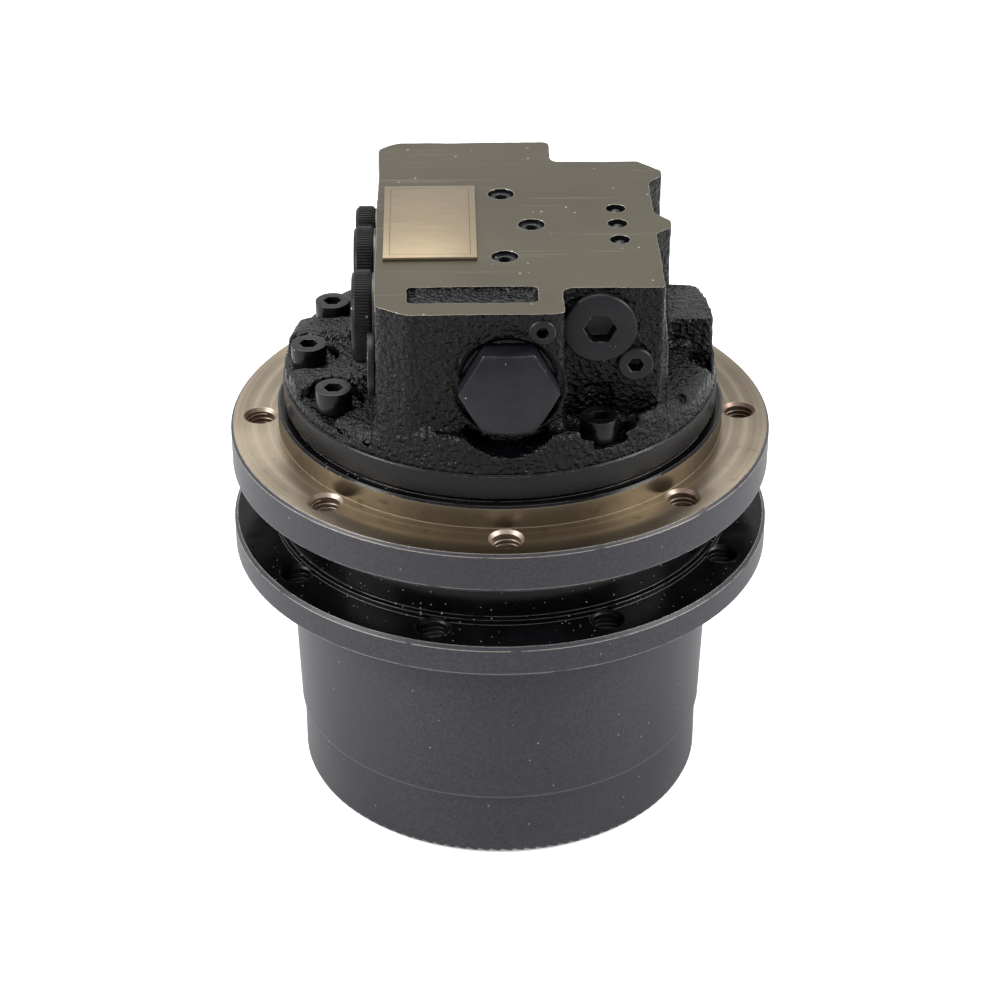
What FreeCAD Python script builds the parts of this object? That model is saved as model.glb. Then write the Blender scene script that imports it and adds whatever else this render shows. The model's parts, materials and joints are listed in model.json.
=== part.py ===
"""Travel final drive of a mini excavator, in millimetres, +Z up.

The origin is on the spin axis, at the level of the drum's bottom rim.  The frame side (spindle, motor,
valve block) stands still on the undercarriage; the sprocket housing turns around it through two
planetary stages that share one ring gear.
"""
import FreeCAD, Part
import math
import os
from FreeCAD import Vector as V

# ---------------------------------------------------------------- driving dimensions
# fits and gaps
RUN_FIT = 0.03            # radial clearance of a shaft in its bore
SEAT_FIT = 0.02           # radial clearance of a piece held in its seat
FACE_GAP = 0.3            # axial gap between faces that turn past each other
SMALL_GAP = 0.1           # gap between packed faces inside the motor

# sprocket housing
DRUM_R_LOW = 77.0
DRUM_R_STEP = 78.05
DRUM_R_TOP = 80.2
DRUM_STEP_Z = 27.0
DRUM_H = 97.0
DRUM_EDGE_R = 2.2
SPROCKET_R = 100.5
SPROCKET_T = 12.0
HUB_R = 84.1
HUB_H = 20.0
HUB_BORE_R = 77.0

# frame flange and spindle
FLANGE_GAP = 22.0
FRAME_R = 100.0
FRAME_T = 16.0
PILOT_R = 82.3
PILOT_H = 8.5
JOINT_R = 78.6
JOINT_H = 1.5
NECK_R = 66.0
FRAME_BOLT_PCD = 178.0
SPROCKET_BOLT_PCD = 180.0
FRAME_BOLTS = 8
SPROCKET_BOLTS = 9
SPROCKET_BOLT_TURN = 13.5
M12_HOLE_R = 5.1
M12_CHAMFER = 1.2

# gears, one module for both stages
MODULE = 2.0
PRESSURE = math.radians(25.0)
ADDENDUM = 0.9
DEDENDUM = 1.2
BACKLASH = 0.16
RING_TEETH = 66
SUN1_TEETH = 12
SUN2_TEETH = 18
PLANETS = 3

# axial stack of the reduction, measured up from the rim
COVER_RECESS = 1.6
RETAINER_T = 1.9
COVER_T = 8.0
COVER_R = 70.0
STAGE1_GAP = 2.6
STAGE1_W = 13.0
WASHER_T = 1.9
CARRIER_T = 7.0
STAGE2_W = 17.0
CARRIER2_T = 8.5
CARRIER2_R = 57.0
STAGE_GAP = 1.5

# gear shafts, pins and bushes
SHAFT_R = 8.0
SUN1_BORE_R = 6.5
SUN2_BORE_R = 9.0
PIN1_R = 8.0
PIN2_R = 9.5
BUSH_T = 2.0

# main bearings
LOW_RACE_IN = 50.0
LOW_RACE_OUT = 64.0
HIGH_RACE_IN = 55.0
HIGH_RACE_OUT = 68.0
RACE_W = 13.0
HIGH_RACE_RISE = 1.5
RACE_T = 3.4
ROLLERS = 18
HOUSING_RIB_R = 61.0

# motor cavity and rotating group
CAVITY_R = 44.0
BRAKE_R = 53.0
PISTON_BORE_R = 56.0
BLOCK_R = 33.0
SHOE_ROOM = 9.5             # height of the slippers between swash plate and rotor
PISTONS = 9
PISTON_R = 5.5
PISTON_PCD = 46.0
SWASH_T = 9.0
SHOE_R = 7.2
MOTOR_SHAFT_R = 9.5
FRONT_BEARING_R = 21.0
FRONT_BEARING_W = 13.0
SHAFT_SEAL_R = 17.0
SHAFT_SEAL_W = 6.5
REAR_BEARING_R = 15.0
REAR_BEARING_W = 11.0
VALVE_PLATE_T = 4.4
DISC_T = 2.0
PLATE_T = 2.4
DISCS = 3
BRAKE_PISTON_H = 15.0
BRAKE_TRAVEL = 1.0
SPRINGS = 8
SPRING_PCD = 92.0
SPRING_R = 3.6

# motor cover and valve block
BAND_R = 79.8
BAND_H = 9.0
CAST_R = 79.2
CAST_TOP = 20.0
SHOULDER_R = 5.0
BLOCK_TOP = 67.6
BLOCK_LEFT = -44.4
BLOCK_RIGHT = 55.5
BLOCK_FRONT = -72.0
BLOCK_STEP_X = 20.6
BLOCK_STEP_Y = -53.0
BLOCK_BACK = 72.0
BACK_STEP_X = 20.4
BACK_STEP_Y = 53.4
CORNER_R = 3.0
WALL_BULGE = 5.9
PASS_GAP = 1.5             # the block passes through the frame's pilot opening
FRONT_RISE = 3.8           # the cast wall stands higher in front of the block
SCREW_PCD = 140.0
SCREW_ANGLES = (152.8, 182.0, 211.2, 298.0, 28.0, 66.0)
SCREW_HEAD_R = 6.5
SCREW_HEAD_H = 8.0
SCREW_R = 4.0
SCREW_LENGTH = 30.0
SCREW_SEAT = 13.3
SCREW_POCKET_R = 10.4
FRONT_LIP = 4.6
STEP_WALL = 3.4
STEP_RISE = 16.5
STEP_RIGHT = 52.0
WALL_DRAFT = 2.6           # the right wall leans out by this much towards its foot
LUG_FRONT, LUG_BACK = -3.5, 25.0
LUG_RISE = 30.0
SIDE_POCKET_X = 68.5
SIDE_POCKET_Y = -20.0
SIDE_POCKET_RISE = 11.0
SIDE_POCKET_WALL = 2.4
TOP_RECESS = (-33.0, 11.3, -63.0, -51.0)
TOP_RECESS_DEEP = 1.8
HEX_KEY = 6.0

# counterbalance valve in the block
SPOOL_X = 1.2
SPOOL_RISE = 39.9
SPOOL_R = 8.0
SPOOL_L = 92.0
SPOOL_TRAVEL = 4.0
PLUG_AF = 30.0
PLUG_THREAD_R = 13.0
PLUG_THREAD_L = 11.0
PLUG_HEAD_T = 12.6
PLUG_POCKET_R = 18.9
POCKET_RELIEF = 5.2
PLUG_PROUD = 6.7

# ports on the left face
PORT_Z = 41.6
PORT_A_Y = -21.0
PORT_PITCH = 36.5
DRAIN_Y = 45.0
PORT_CAP_R = 16.1
DRAIN_CAP_R = 11.0
CAP_T = 7.2
CAP_WASHER_T = 1.4
PORT_THREAD_R = 10.4
DRAIN_THREAD_R = 6.5
PORT_THREAD_L = 12.0

# name plate
NAME_PLATE = (33.0, 60.0, 1.2)
NAME_PLATE_AT = (-41.6, -30.0)

# ---------------------------------------------------------------- levels, from the rim up
SPROCKET_TOP = DRUM_H + SPROCKET_T
FRAME_LOW = SPROCKET_TOP + FLANGE_GAP
FRAME_TOP = FRAME_LOW + FRAME_T
JOINT_Z = FRAME_TOP + PILOT_H + JOINT_H
COVER_IN = COVER_RECESS + RETAINER_T + COVER_T + SMALL_GAP
STAGE1_Z = COVER_IN + STAGE1_GAP
CARRIER_Z = STAGE1_Z + STAGE1_W + WASHER_T + 2 * FACE_GAP
STAGE2_Z = CARRIER_Z + CARRIER_T + STAGE_GAP + FACE_GAP
CARRIER2_Z = STAGE2_Z + STAGE2_W + STAGE_GAP
SPINDLE_LOW = CARRIER2_Z + CARRIER2_T
LOW_RACE_Z = SPINDLE_LOW
HIGH_RACE_Z = DRUM_H + HIGH_RACE_RISE
SEAL_Z = SPINDLE_LOW
FRONT_BEARING_Z = SEAL_Z + SHAFT_SEAL_W + 1.0
CAVITY_Z = FRONT_BEARING_Z + FRONT_BEARING_W + 1.5
SWASH_TOP = CAVITY_Z + SWASH_T
VALVE_PLATE_Z = JOINT_Z - 6.5
BLOCK_END_Z = VALVE_PLATE_Z - VALVE_PLATE_T - SMALL_GAP
BLOCK_Z = SWASH_TOP + SHOE_ROOM
BLOCK_H = BLOCK_END_Z - BLOCK_Z
BRAKE_Z = FRAME_LOW - 15.0
PISTON_BORE_Z = FRAME_LOW + 3.0
CAST_Z = JOINT_Z + CAST_TOP
TOP_Z = JOINT_Z + BLOCK_TOP
SPOOL_Z = JOINT_Z + SPOOL_RISE

# ---------------------------------------------------------------- helpers
UP = V(0, 0, 1)


def cylinder(radius, height, base=V(0, 0, 0), direction=UP):
    return Part.makeCylinder(radius, height, base, direction)


def tube(outer, inner, z, height):
    """A ring on the spin axis."""
    return cylinder(outer, height, V(0, 0, z)).cut(cylinder(inner, height, V(0, 0, z)))


def revolve(profile):
    """A closed (radius, z) profile turned about the spin axis."""
    points = [V(r, 0, z) for r, z in profile]
    face = Part.Face(Part.makePolygon(points + points[:1]))
    return face.revolve(V(0, 0, 0), UP, 360)


def box(x0, x1, y0, y1, z0, z1):
    return Part.makeBox(x1 - x0, y1 - y0, z1 - z0, V(x0, y0, z0))


def fuse(first, *others):
    for other in others:
        first = first.fuse(other)
    return first.removeSplitter()


def cut(body, *tools):
    for tool in tools:
        body = body.cut(tool)
    return body


def polar(radius, degrees, z=0.0):
    a = math.radians(degrees)
    return V(radius * math.cos(a), radius * math.sin(a), z)


def around(shape, count, start=0.0):
    """Copies of a shape, evenly spaced about the spin axis."""
    copies = []
    for i in range(count):
        copy = shape.copy()
        copy.rotate(V(0, 0, 0), UP, start + 360.0 * i / count)
        copies.append(copy)
    return copies


def prism(points, z, height):
    corners = [V(x, y, z) for x, y in points]
    return Part.Face(Part.makePolygon(corners + corners[:1])).extrude(V(0, 0, height))


def hexagon(across_flats, length, base, direction, turn=0.0):
    """A hexagonal bar from base along direction."""
    radius = across_flats / math.sqrt(3)
    corners = [polar(radius, 60 * i + turn) for i in range(6)]
    bar = Part.Face(Part.makePolygon(corners + corners[:1])).extrude(V(0, 0, length))
    bar.Placement = FreeCAD.Placement(base, FreeCAD.Rotation(UP, direction))
    return bar


def rounded_outline(corners):
    """A closed wire through (x, y, radius) corners, each rounded by a tangent arc."""
    count = len(corners)
    edges = []
    starts, ends, middles = [], [], []
    for i, (x, y, radius) in enumerate(corners):
        here = V(x, y, 0)
        before = V(*corners[i - 1][:2], 0) - here
        after = V(*corners[(i + 1) % count][:2], 0) - here
        before.normalize()
        after.normalize()
        half = before.getAngle(after) / 2
        reach = radius / math.tan(half)
        bisector = (before + after).normalize()
        centre = here + bisector * (radius / math.sin(half))
        starts.append(here + before * reach)
        ends.append(here + after * reach)
        middles.append(centre - bisector * radius)
    for i in range(count):
        edges.append(Part.Arc(starts[i], middles[i], ends[i]).toShape())
        edges.append(Part.makeLine(ends[i], starts[(i + 1) % count]))
    return Part.Wire(edges)


def save(name, shape):
    os.makedirs("parts", exist_ok=True)
    shape.exportStep("parts/" + name + ".step")


def group(shapes):
    return Part.makeCompound(shapes)


# ---------------------------------------------------------------- gear teeth
def involute(angle):
    return math.tan(angle) - angle


def half_tooth(teeth, radius, thinning):
    """Half the angle that an involute tooth fills at a radius."""
    pitch_r = MODULE * teeth / 2
    base_r = pitch_r * math.cos(PRESSURE)
    at = math.acos(min(1.0, base_r / radius))
    at_pitch = math.pi / (2 * teeth) - thinning / (2 * pitch_r)
    return at_pitch + involute(PRESSURE) - involute(at)


def tooth_outline(teeth, foot_r, tip_r, thinning, phase):
    """Outline of all the teeth: foot, two chords of involute flank and tip."""
    base_r = MODULE * teeth / 2 * math.cos(PRESSURE)
    flank_r = max(foot_r, base_r + 0.02)
    radii = [foot_r, flank_r, (flank_r + tip_r) / 2, tip_r]
    if flank_r == foot_r:
        radii = radii[1:]
    points = []
    for i in range(teeth):
        middle = phase + 2 * math.pi * i / teeth
        rise = [(r, middle - half_tooth(teeth, max(r, flank_r), thinning)) for r in radii]
        fall = [(r, middle + half_tooth(teeth, max(r, flank_r), thinning)) for r in reversed(radii)]
        points += [(r * math.cos(a), r * math.sin(a)) for r, a in rise + fall]
    return points


def gear(teeth, z, width, phase, bore_r):
    pitch_r = MODULE * teeth / 2
    outline = tooth_outline(teeth, pitch_r - DEDENDUM * MODULE, pitch_r + ADDENDUM * MODULE, BACKLASH, phase)
    return prism(outline, z, width).cut(cylinder(bore_r, width, V(0, 0, z)))


def planet_phase(teeth, direction):
    """Turn of a planet's first tooth so that it sits in a ring gear space."""
    return direction - direction * RING_TEETH / teeth


def sun_phase(sun_teeth, planet_teeth):
    """Turn of the sun's first tooth so that it meshes with the planet at angle 0."""
    offset = (planet_phase(planet_teeth, 0.0) - math.pi) * planet_teeth / (2 * math.pi)
    return 2 * math.pi / sun_teeth * (0.5 - offset)


PLANET1_TEETH = (RING_TEETH - SUN1_TEETH) // 2
PLANET2_TEETH = (RING_TEETH - SUN2_TEETH) // 2
RING_PITCH_R = MODULE * RING_TEETH / 2
RING_FOOT_R = RING_PITCH_R + DEDENDUM * MODULE
RING_TIP_R = RING_PITCH_R - ADDENDUM * MODULE
CENTRE1 = MODULE * (SUN1_TEETH + PLANET1_TEETH) / 2
CENTRE2 = MODULE * (SUN2_TEETH + PLANET2_TEETH) / 2
PLANET_ANGLES = [360.0 * i / PLANETS for i in range(PLANETS)]
HOLE_LENGTH = 3 * FRAME_R


# ---------------------------------------------------------------- sprocket housing
def sprocket_housing():
    """Drum, sprocket flange, pilot hub and the ring gear teeth cut inside."""
    top = SPROCKET_TOP + HUB_H
    low_z = LOW_RACE_Z
    low_end = LOW_RACE_Z + RACE_W
    seat = SEAT_FIT
    profile = [
        (COVER_R + seat, 0), (DRUM_R_LOW - DRUM_EDGE_R, 0),
        (DRUM_R_LOW - 0.3 * DRUM_EDGE_R, 0.3 * DRUM_EDGE_R), (DRUM_R_LOW, DRUM_EDGE_R),
        (DRUM_R_LOW, DRUM_STEP_Z - 1.4), (DRUM_R_STEP, DRUM_STEP_Z),
        (DRUM_R_TOP, DRUM_H), (SPROCKET_R - 1.2, DRUM_H), (SPROCKET_R, DRUM_H + 1.2),
        (SPROCKET_R, SPROCKET_TOP - 1.2), (SPROCKET_R - 1.2, SPROCKET_TOP),
        (HUB_R + 1.6, SPROCKET_TOP), (HUB_R + 1.6, SPROCKET_TOP + 2.0), (HUB_R, SPROCKET_TOP + 2.6),
        (HUB_R, top - 1.0), (HUB_R - 1.0, top), (HUB_BORE_R, top),
        (HUB_BORE_R, HIGH_RACE_Z + RACE_W + 1.0), (HIGH_RACE_OUT + seat, HIGH_RACE_Z + RACE_W + 1.0),
        (HIGH_RACE_OUT + seat, HIGH_RACE_Z), (HOUSING_RIB_R, HIGH_RACE_Z), (HOUSING_RIB_R, low_end),
        (LOW_RACE_OUT + seat, low_end), (LOW_RACE_OUT + seat, low_z - 3.0),
        (RING_FOOT_R + 0.5, low_z - 5.0), (RING_FOOT_R + 0.5, CARRIER2_Z),
        (RING_TIP_R - 3.0, CARRIER2_Z), (RING_TIP_R - 3.0, COVER_IN), (COVER_R + seat, COVER_IN),
    ]
    body = revolve(profile)
    spaces = tooth_outline(RING_TEETH, RING_TIP_R, RING_FOOT_R, -BACKLASH, 0.0)
    body = body.cut(prism(spaces, COVER_IN - 1, CARRIER2_Z - COVER_IN + 2))
    groove = tube(COVER_R + 1.3, COVER_R - 1, COVER_RECESS, RETAINER_T + SMALL_GAP)
    hole_z = SPROCKET_TOP
    holes = []
    for i in range(SPROCKET_BOLTS):
        at = polar(SPROCKET_BOLT_PCD / 2, SPROCKET_BOLT_TURN + 360.0 * i / SPROCKET_BOLTS, DRUM_H - 1)
        holes.append(cylinder(M12_HOLE_R, SPROCKET_T + 2, at))
        mouth = V(at.x, at.y, hole_z - M12_CHAMFER)
        holes.append(Part.makeCone(M12_HOLE_R, M12_HOLE_R + M12_CHAMFER, M12_CHAMFER, mouth))
    return cut(body, groove, *holes)


def end_cover():
    """Round plate that closes the drum, with two threaded oil holes."""
    z = COVER_RECESS + RETAINER_T + SMALL_GAP
    plate = revolve([(0, z + 1.5), (40, z + 1.5), (44, z), (COVER_R - 1, z), (COVER_R, z + 1),
                     (COVER_R, z + 3.2), (COVER_R - 2.2, z + 3.2), (COVER_R - 2.2, z + 5.8),
                     (COVER_R, z + 5.8), (COVER_R, z + COVER_T), (0, z + COVER_T)])
    holes = [cylinder(6.5, 20, polar(54, a, z - 5)) for a in (90, -90)]
    return cut(plate, *holes)


def oil_plugs():
    z = COVER_RECESS + RETAINER_T + SMALL_GAP
    plugs = []
    for angle in (90, -90):
        at = polar(54, angle, z)
        plug = cylinder(6.5 - SEAT_FIT, COVER_T - 0.4, at)
        plugs.append(plug.cut(hexagon(5.0, 4.0, V(at.x, at.y, z), UP)))
    return group(plugs)


def retaining_ring():
    """Split ring that holds the end cover."""
    ring = tube(COVER_R + 1.1, COVER_R - 2.5, COVER_RECESS + SMALL_GAP / 2, RETAINER_T)
    return ring.cut(box(50, 90, -4, 4, 0, 10))


def cover_seal():
    z = COVER_RECESS + RETAINER_T + SMALL_GAP + 3.3
    return tube(COVER_R - 0.05, COVER_R - 2.1, z, 2.4)


# ---------------------------------------------------------------- first stage
def drive_sun():
    phase = sun_phase(SUN1_TEETH, PLANET1_TEETH)
    return gear(SUN1_TEETH, STAGE1_Z, STAGE1_W, phase, SUN1_BORE_R + SEAT_FIT)


def sun_ring():
    return tube(SUN1_BORE_R + 2.2, SUN1_BORE_R - 0.8, STAGE1_Z - 1.3, 1.1)


def planet(teeth, centre, angle, z, width, bore_r):
    direction = math.radians(angle)
    wheel = gear(teeth, z, width, planet_phase(teeth, direction), bore_r)
    wheel.translate(polar(centre, angle))
    return wheel


def bushes(centre, z, width, pin_r):
    """Bronze bushes pressed on the pins; the planets turn on them."""
    rings = []
    for angle in PLANET_ANGLES:
        at = polar(centre, angle, z)
        outside = cylinder(pin_r + SEAT_FIT + BUSH_T, width, at)
        rings.append(outside.cut(cylinder(pin_r + SEAT_FIT, width, at)))
    return group(rings)


def first_carrier():
    """Three-armed plate that holds the first-stage pins and the second sun."""
    plate = tube(CENTRE1 + PIN1_R + 4.0, 14.0 + SEAT_FIT, CARRIER_Z, CARRIER_T)
    bays = [cylinder(24.0, CARRIER_T, polar(62.0, a + 60, CARRIER_Z)) for a in PLANET_ANGLES]
    holes = [cylinder(PIN1_R + SEAT_FIT, CARRIER_T, polar(CENTRE1, a, CARRIER_Z)) for a in PLANET_ANGLES]
    return cut(plate, *bays, *holes)


def first_pins():
    z = STAGE1_Z - 1.6
    pins = []
    for angle in PLANET_ANGLES:
        pin = cylinder(PIN1_R, CARRIER_Z + CARRIER_T - z, polar(CENTRE1, angle, z))
        at = polar(CENTRE1, angle, STAGE1_Z - 1.2)
        groove = cylinder(PIN1_R + 1, 1.0, at).cut(cylinder(PIN1_R - 0.8, 1.0, at))
        pins.append(pin.cut(groove))
    return group(pins)


def pin_rings(centre, pin_r, z, thickness=0.9):
    rings = []
    for angle in PLANET_ANGLES:
        at = polar(centre, angle, z)
        ring = cylinder(pin_r + 2.0, thickness, at).cut(cylinder(pin_r - 0.75, thickness, at))
        rings.append(ring)
    return group(rings)


def thrust_washers():
    washers = []
    for angle in PLANET_ANGLES:
        at = polar(CENTRE1, angle, CARRIER_Z - WASHER_T)
        washer = cylinder(PIN1_R + 7, WASHER_T, at).cut(cylinder(PIN1_R + 0.1, WASHER_T, at))
        washers.append(washer)
    return group(washers)


# ---------------------------------------------------------------- second stage
def second_sun():
    """Second sun gear with the hub that is pressed in the first carrier."""
    phase = sun_phase(SUN2_TEETH, PLANET2_TEETH)
    wheel = gear(SUN2_TEETH, STAGE2_Z, STAGE2_W, phase, SUN2_BORE_R)
    hub = tube(14.0, SUN2_BORE_R, CARRIER_Z, STAGE2_Z - CARRIER_Z)
    return fuse(wheel, hub)


def second_carrier():
    """Fixed carrier, bolted under the spindle; it also clamps the lower bearing."""
    plate = tube(CARRIER2_R, SHAFT_SEAL_R, CARRIER2_Z, CARRIER2_T)
    holes = [cylinder(PIN2_R + SEAT_FIT, CARRIER2_T, polar(CENTRE2, a, CARRIER2_Z)) for a in PLANET_ANGLES]
    for angle in PLANET_ANGLES:
        for turn in (40, 80):
            at = polar(30, angle + turn, CARRIER2_Z)
            holes.append(cylinder(3.3, CARRIER2_T, at))
            holes.append(cylinder(5.2, 6.0, at))
    return cut(plate, *holes)


def carrier_screws():
    """Cap screws of the fixed carrier, with their heads flush below."""
    screws = []
    for angle in PLANET_ANGLES:
        for turn in (40, 80):
            head = polar(30, angle + turn, CARRIER2_Z + 0.2)
            screw = cylinder(5.0, 5.8, head).fuse(cylinder(3.0, 22.0, head))
            screws.append(screw.cut(hexagon(5.0, 3.0, head, UP)))
    return group(screws)


def second_pins():
    z = STAGE2_Z - 1.6
    pins = []
    for angle in PLANET_ANGLES:
        pin = cylinder(PIN2_R, CARRIER2_Z + CARRIER2_T - z, polar(CENTRE2, angle, z))
        at = polar(CENTRE2, angle, STAGE2_Z - 1.2)
        groove = cylinder(PIN2_R + 1, 1.0, at).cut(cylinder(PIN2_R - 0.8, 1.0, at))
        pins.append(pin.cut(groove))
    return group(pins)


# ---------------------------------------------------------------- main bearings and seal
def inner_race(z, bore_r):
    return tube(bore_r + RACE_T, bore_r + SEAT_FIT, z, RACE_W)


def outer_race(z, outer_r):
    return tube(outer_r, outer_r - RACE_T, z, RACE_W)


def rollers(z, bore_r, outer_r):
    """Ring of rollers between the two races."""
    low = bore_r + RACE_T + RUN_FIT
    high = outer_r - RACE_T - RUN_FIT
    roller = cylinder((high - low) / 2, RACE_W - 4.0, V((high + low) / 2, 0, z + 2.0))
    return around(roller, ROLLERS)


def cage(z, bore_r, outer_r):
    """Thin cage with one open pocket for each roller."""
    middle = (bore_r + outer_r) / 2
    half = (outer_r - bore_r) / 2 - RACE_T
    ring = tube(middle + 0.9, middle - 0.9, z + 0.6, RACE_W - 1.2)
    pocket = box(middle - 3, middle + 3, -half - 0.1, half + 0.1, z + 1.8, z + RACE_W - 1.8)
    return cut(ring, *around(pocket, ROLLERS))


SEAL_RING_R = 75.4
SEAL_RING_IN = NECK_R + 1.0


def seal_ring(z, thickness):
    """One hard metal ring of the floating face seal."""
    return revolve([(SEAL_RING_IN + 1.5, z), (SEAL_RING_R - 3, z), (SEAL_RING_R - 1.4, z + thickness / 2),
                    (SEAL_RING_R - 3, z + thickness), (SEAL_RING_IN + 1.5, z + thickness)])


def rubber_ring(radius_out, radius_in, z, height):
    return tube(radius_out, radius_in, z, height)


# ---------------------------------------------------------------- spindle
def spindle():
    """Fixed spindle with the frame flange, the pilot and the motor cavity."""
    high_end = HIGH_RACE_Z + RACE_W
    neck_foot = FRAME_LOW - 3.0
    seal_in = SHAFT_SEAL_R
    profile = [
        (seal_in, SPINDLE_LOW), (LOW_RACE_IN, SPINDLE_LOW), (LOW_RACE_IN, LOW_RACE_Z + RACE_W + 4),
        (HIGH_RACE_IN - 0.6, LOW_RACE_Z + RACE_W + 8), (HIGH_RACE_IN, HIGH_RACE_Z - 1),
        (HIGH_RACE_IN, high_end), (HIGH_RACE_IN + 4, high_end), (HIGH_RACE_IN + 4, high_end + 2),
        (NECK_R, high_end + 4), (NECK_R, neck_foot), (NECK_R + 3, FRAME_LOW),
        (FRAME_R - 2.0, FRAME_LOW), (FRAME_R, FRAME_LOW + 2.0), (FRAME_R, FRAME_TOP - 1.0),
        (FRAME_R - 1.0, FRAME_TOP), (PILOT_R, FRAME_TOP), (PILOT_R, FRAME_TOP + PILOT_H - 0.8),
        (PILOT_R - 0.8, FRAME_TOP + PILOT_H), (JOINT_R, FRAME_TOP + PILOT_H), (JOINT_R, JOINT_Z),
        (PISTON_BORE_R, JOINT_Z), (PISTON_BORE_R, PISTON_BORE_Z), (BRAKE_R, PISTON_BORE_Z),
        (BRAKE_R, BRAKE_Z), (CAVITY_R, BRAKE_Z), (CAVITY_R, CAVITY_Z), (FRONT_BEARING_R, CAVITY_Z),
        (FRONT_BEARING_R, FRONT_BEARING_Z), (seal_in, FRONT_BEARING_Z),
    ]
    body = revolve(profile)
    tools = []
    for i in range(FRAME_BOLTS):
        at = polar(FRAME_BOLT_PCD / 2, 360.0 * i / FRAME_BOLTS, FRAME_LOW - 1)
        tools.append(cylinder(M12_HOLE_R, FRAME_T + 2, at))
        mouth = V(at.x, at.y, FRAME_TOP - M12_CHAMFER)
        tools.append(Part.makeCone(M12_HOLE_R, M12_HOLE_R + M12_CHAMFER, M12_CHAMFER, mouth))
    for angle in SCREW_ANGLES:
        tools.append(cylinder(SCREW_R + 0.1, 22, polar(SCREW_PCD / 2, angle, JOINT_Z - 21)))
    for angle in PLANET_ANGLES:
        for turn in (40, 80):
            tools.append(cylinder(3.05, 17, polar(30, angle + turn, SPINDLE_LOW - 1)))
    tools.append(tube(PISTON_BORE_R + 5.5, PISTON_BORE_R + 3, JOINT_Z - 2.0, 3.0))
    return cut(body, *tools)


def cover_joint_seal():
    return tube(PISTON_BORE_R + 5.4, PISTON_BORE_R + 3.1, JOINT_Z - 1.9, 1.8)


# ---------------------------------------------------------------- motor
def drive_shaft():
    """Stepped shaft from the rear bearing down to the first sun."""
    low = STAGE1_Z - 1.8
    profile = [(0, low), (SUN1_BORE_R, low), (SUN1_BORE_R, STAGE1_Z + STAGE1_W),
               (SHAFT_R, STAGE1_Z + STAGE1_W), (SHAFT_R, FRONT_BEARING_Z - 1.0),
               (MOTOR_SHAFT_R + 0.5, FRONT_BEARING_Z - 0.5), (MOTOR_SHAFT_R + 0.5, CAVITY_Z),
               (MOTOR_SHAFT_R, CAVITY_Z), (MOTOR_SHAFT_R, BLOCK_END_Z - 2), (SHAFT_R, BLOCK_END_Z - 1),
               (SHAFT_R, VALVE_PLATE_Z + REAR_BEARING_W - 1), (0, VALVE_PLATE_Z + REAR_BEARING_W - 1)]
    shaft = revolve(profile)
    groove = tube(SUN1_BORE_R + 1, SUN1_BORE_R - 0.9, STAGE1_Z - 1.35, 1.2)
    return cut(shaft, groove)


def bearing_ring(outer, inner, z, width):
    """Closed shaft bearing, held as one unit in its seat."""
    return tube(outer - SEAT_FIT, inner + RUN_FIT, z, width)


def shaft_seal():
    outer = SHAFT_SEAL_R - SEAT_FIT
    return revolve([(outer, SEAL_Z + 0.4), (outer, SEAL_Z + SHAFT_SEAL_W),
                    (SHAFT_R + 1.2, SEAL_Z + SHAFT_SEAL_W), (SHAFT_R + RUN_FIT, SEAL_Z + SHAFT_SEAL_W - 1.5),
                    (SHAFT_R + 1.6, SEAL_Z + 2.4), (SHAFT_SEAL_R - 3.0, SEAL_Z + 0.4)])


def swash_plate():
    """Plate that the slippers run on, drawn at neutral."""
    plate = tube(CAVITY_R - 1.0, 15.0, CAVITY_Z, SWASH_T)
    flats = [box(x, x + 16, -50, 50, CAVITY_Z - 1, SWASH_TOP + 1) for x in (34, -50)]
    return cut(plate, *flats)


def pistons():
    """Nine pistons, each with its slipper foot."""
    foot_z = SWASH_TOP + 0.03
    foot = cylinder(SHOE_R, 2.4, V(PISTON_PCD / 2, 0, foot_z))
    neck = cylinder(PISTON_R - 1.3, 4.0, V(PISTON_PCD / 2, 0, foot_z + 2.4))
    body = cylinder(PISTON_R, BLOCK_H - 10.0, V(PISTON_PCD / 2, 0, foot_z + 6.4))
    return group(around(fuse(foot, neck, body), PISTONS))


def slipper_retainer():
    z = SWASH_TOP + 0.03 + 2.4 + SMALL_GAP
    plate = tube(PISTON_PCD / 2 + SHOE_R + 1.5, MOTOR_SHAFT_R + 2.5, z, 2.2)
    return cut(plate, *around(cylinder(PISTON_R - 0.9, 2.2, V(PISTON_PCD / 2, 0, z)), PISTONS))


def cylinder_block():
    """Rotor of the motor: piston bores below and a kidney port above each."""
    block = tube(BLOCK_R, MOTOR_SHAFT_R + SEAT_FIT, BLOCK_Z, BLOCK_H)
    bores = around(cylinder(PISTON_R + RUN_FIT, BLOCK_H - 5, V(PISTON_PCD / 2, 0, BLOCK_Z)), PISTONS)
    ports = around(cylinder(3.0, 6, V(PISTON_PCD / 2, 0, BLOCK_END_Z - 5.5)), PISTONS)
    return cut(block, *bores, *ports)


def valve_plate():
    """Ported plate between the rotor and the cover, with two kidney slots."""
    z = VALVE_PLATE_Z - VALVE_PLATE_T
    plate = tube(BLOCK_R - 1.0, SHAFT_R + 2.5, z, VALVE_PLATE_T)
    ring = tube(PISTON_PCD / 2 + 3.2, PISTON_PCD / 2 - 3.2, z, VALVE_PLATE_T)
    bridge = box(-50, 50, -9, 9, z - 1, VALVE_PLATE_Z + 1)
    return plate.cut(ring.cut(bridge))


def brake_level(index):
    """Bottom of the index-th steel plate in the brake pack."""
    return BRAKE_Z + index * (PLATE_T + DISC_T + 2 * FACE_GAP)


def brake_plates():
    """Steel plates, keyed to the spindle, one more than the discs."""
    plates = []
    for i in range(DISCS + 1):
        plates.append(tube(BRAKE_R - 0.1, BLOCK_R + 2.5, brake_level(i), PLATE_T))
    return group(plates)


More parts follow.
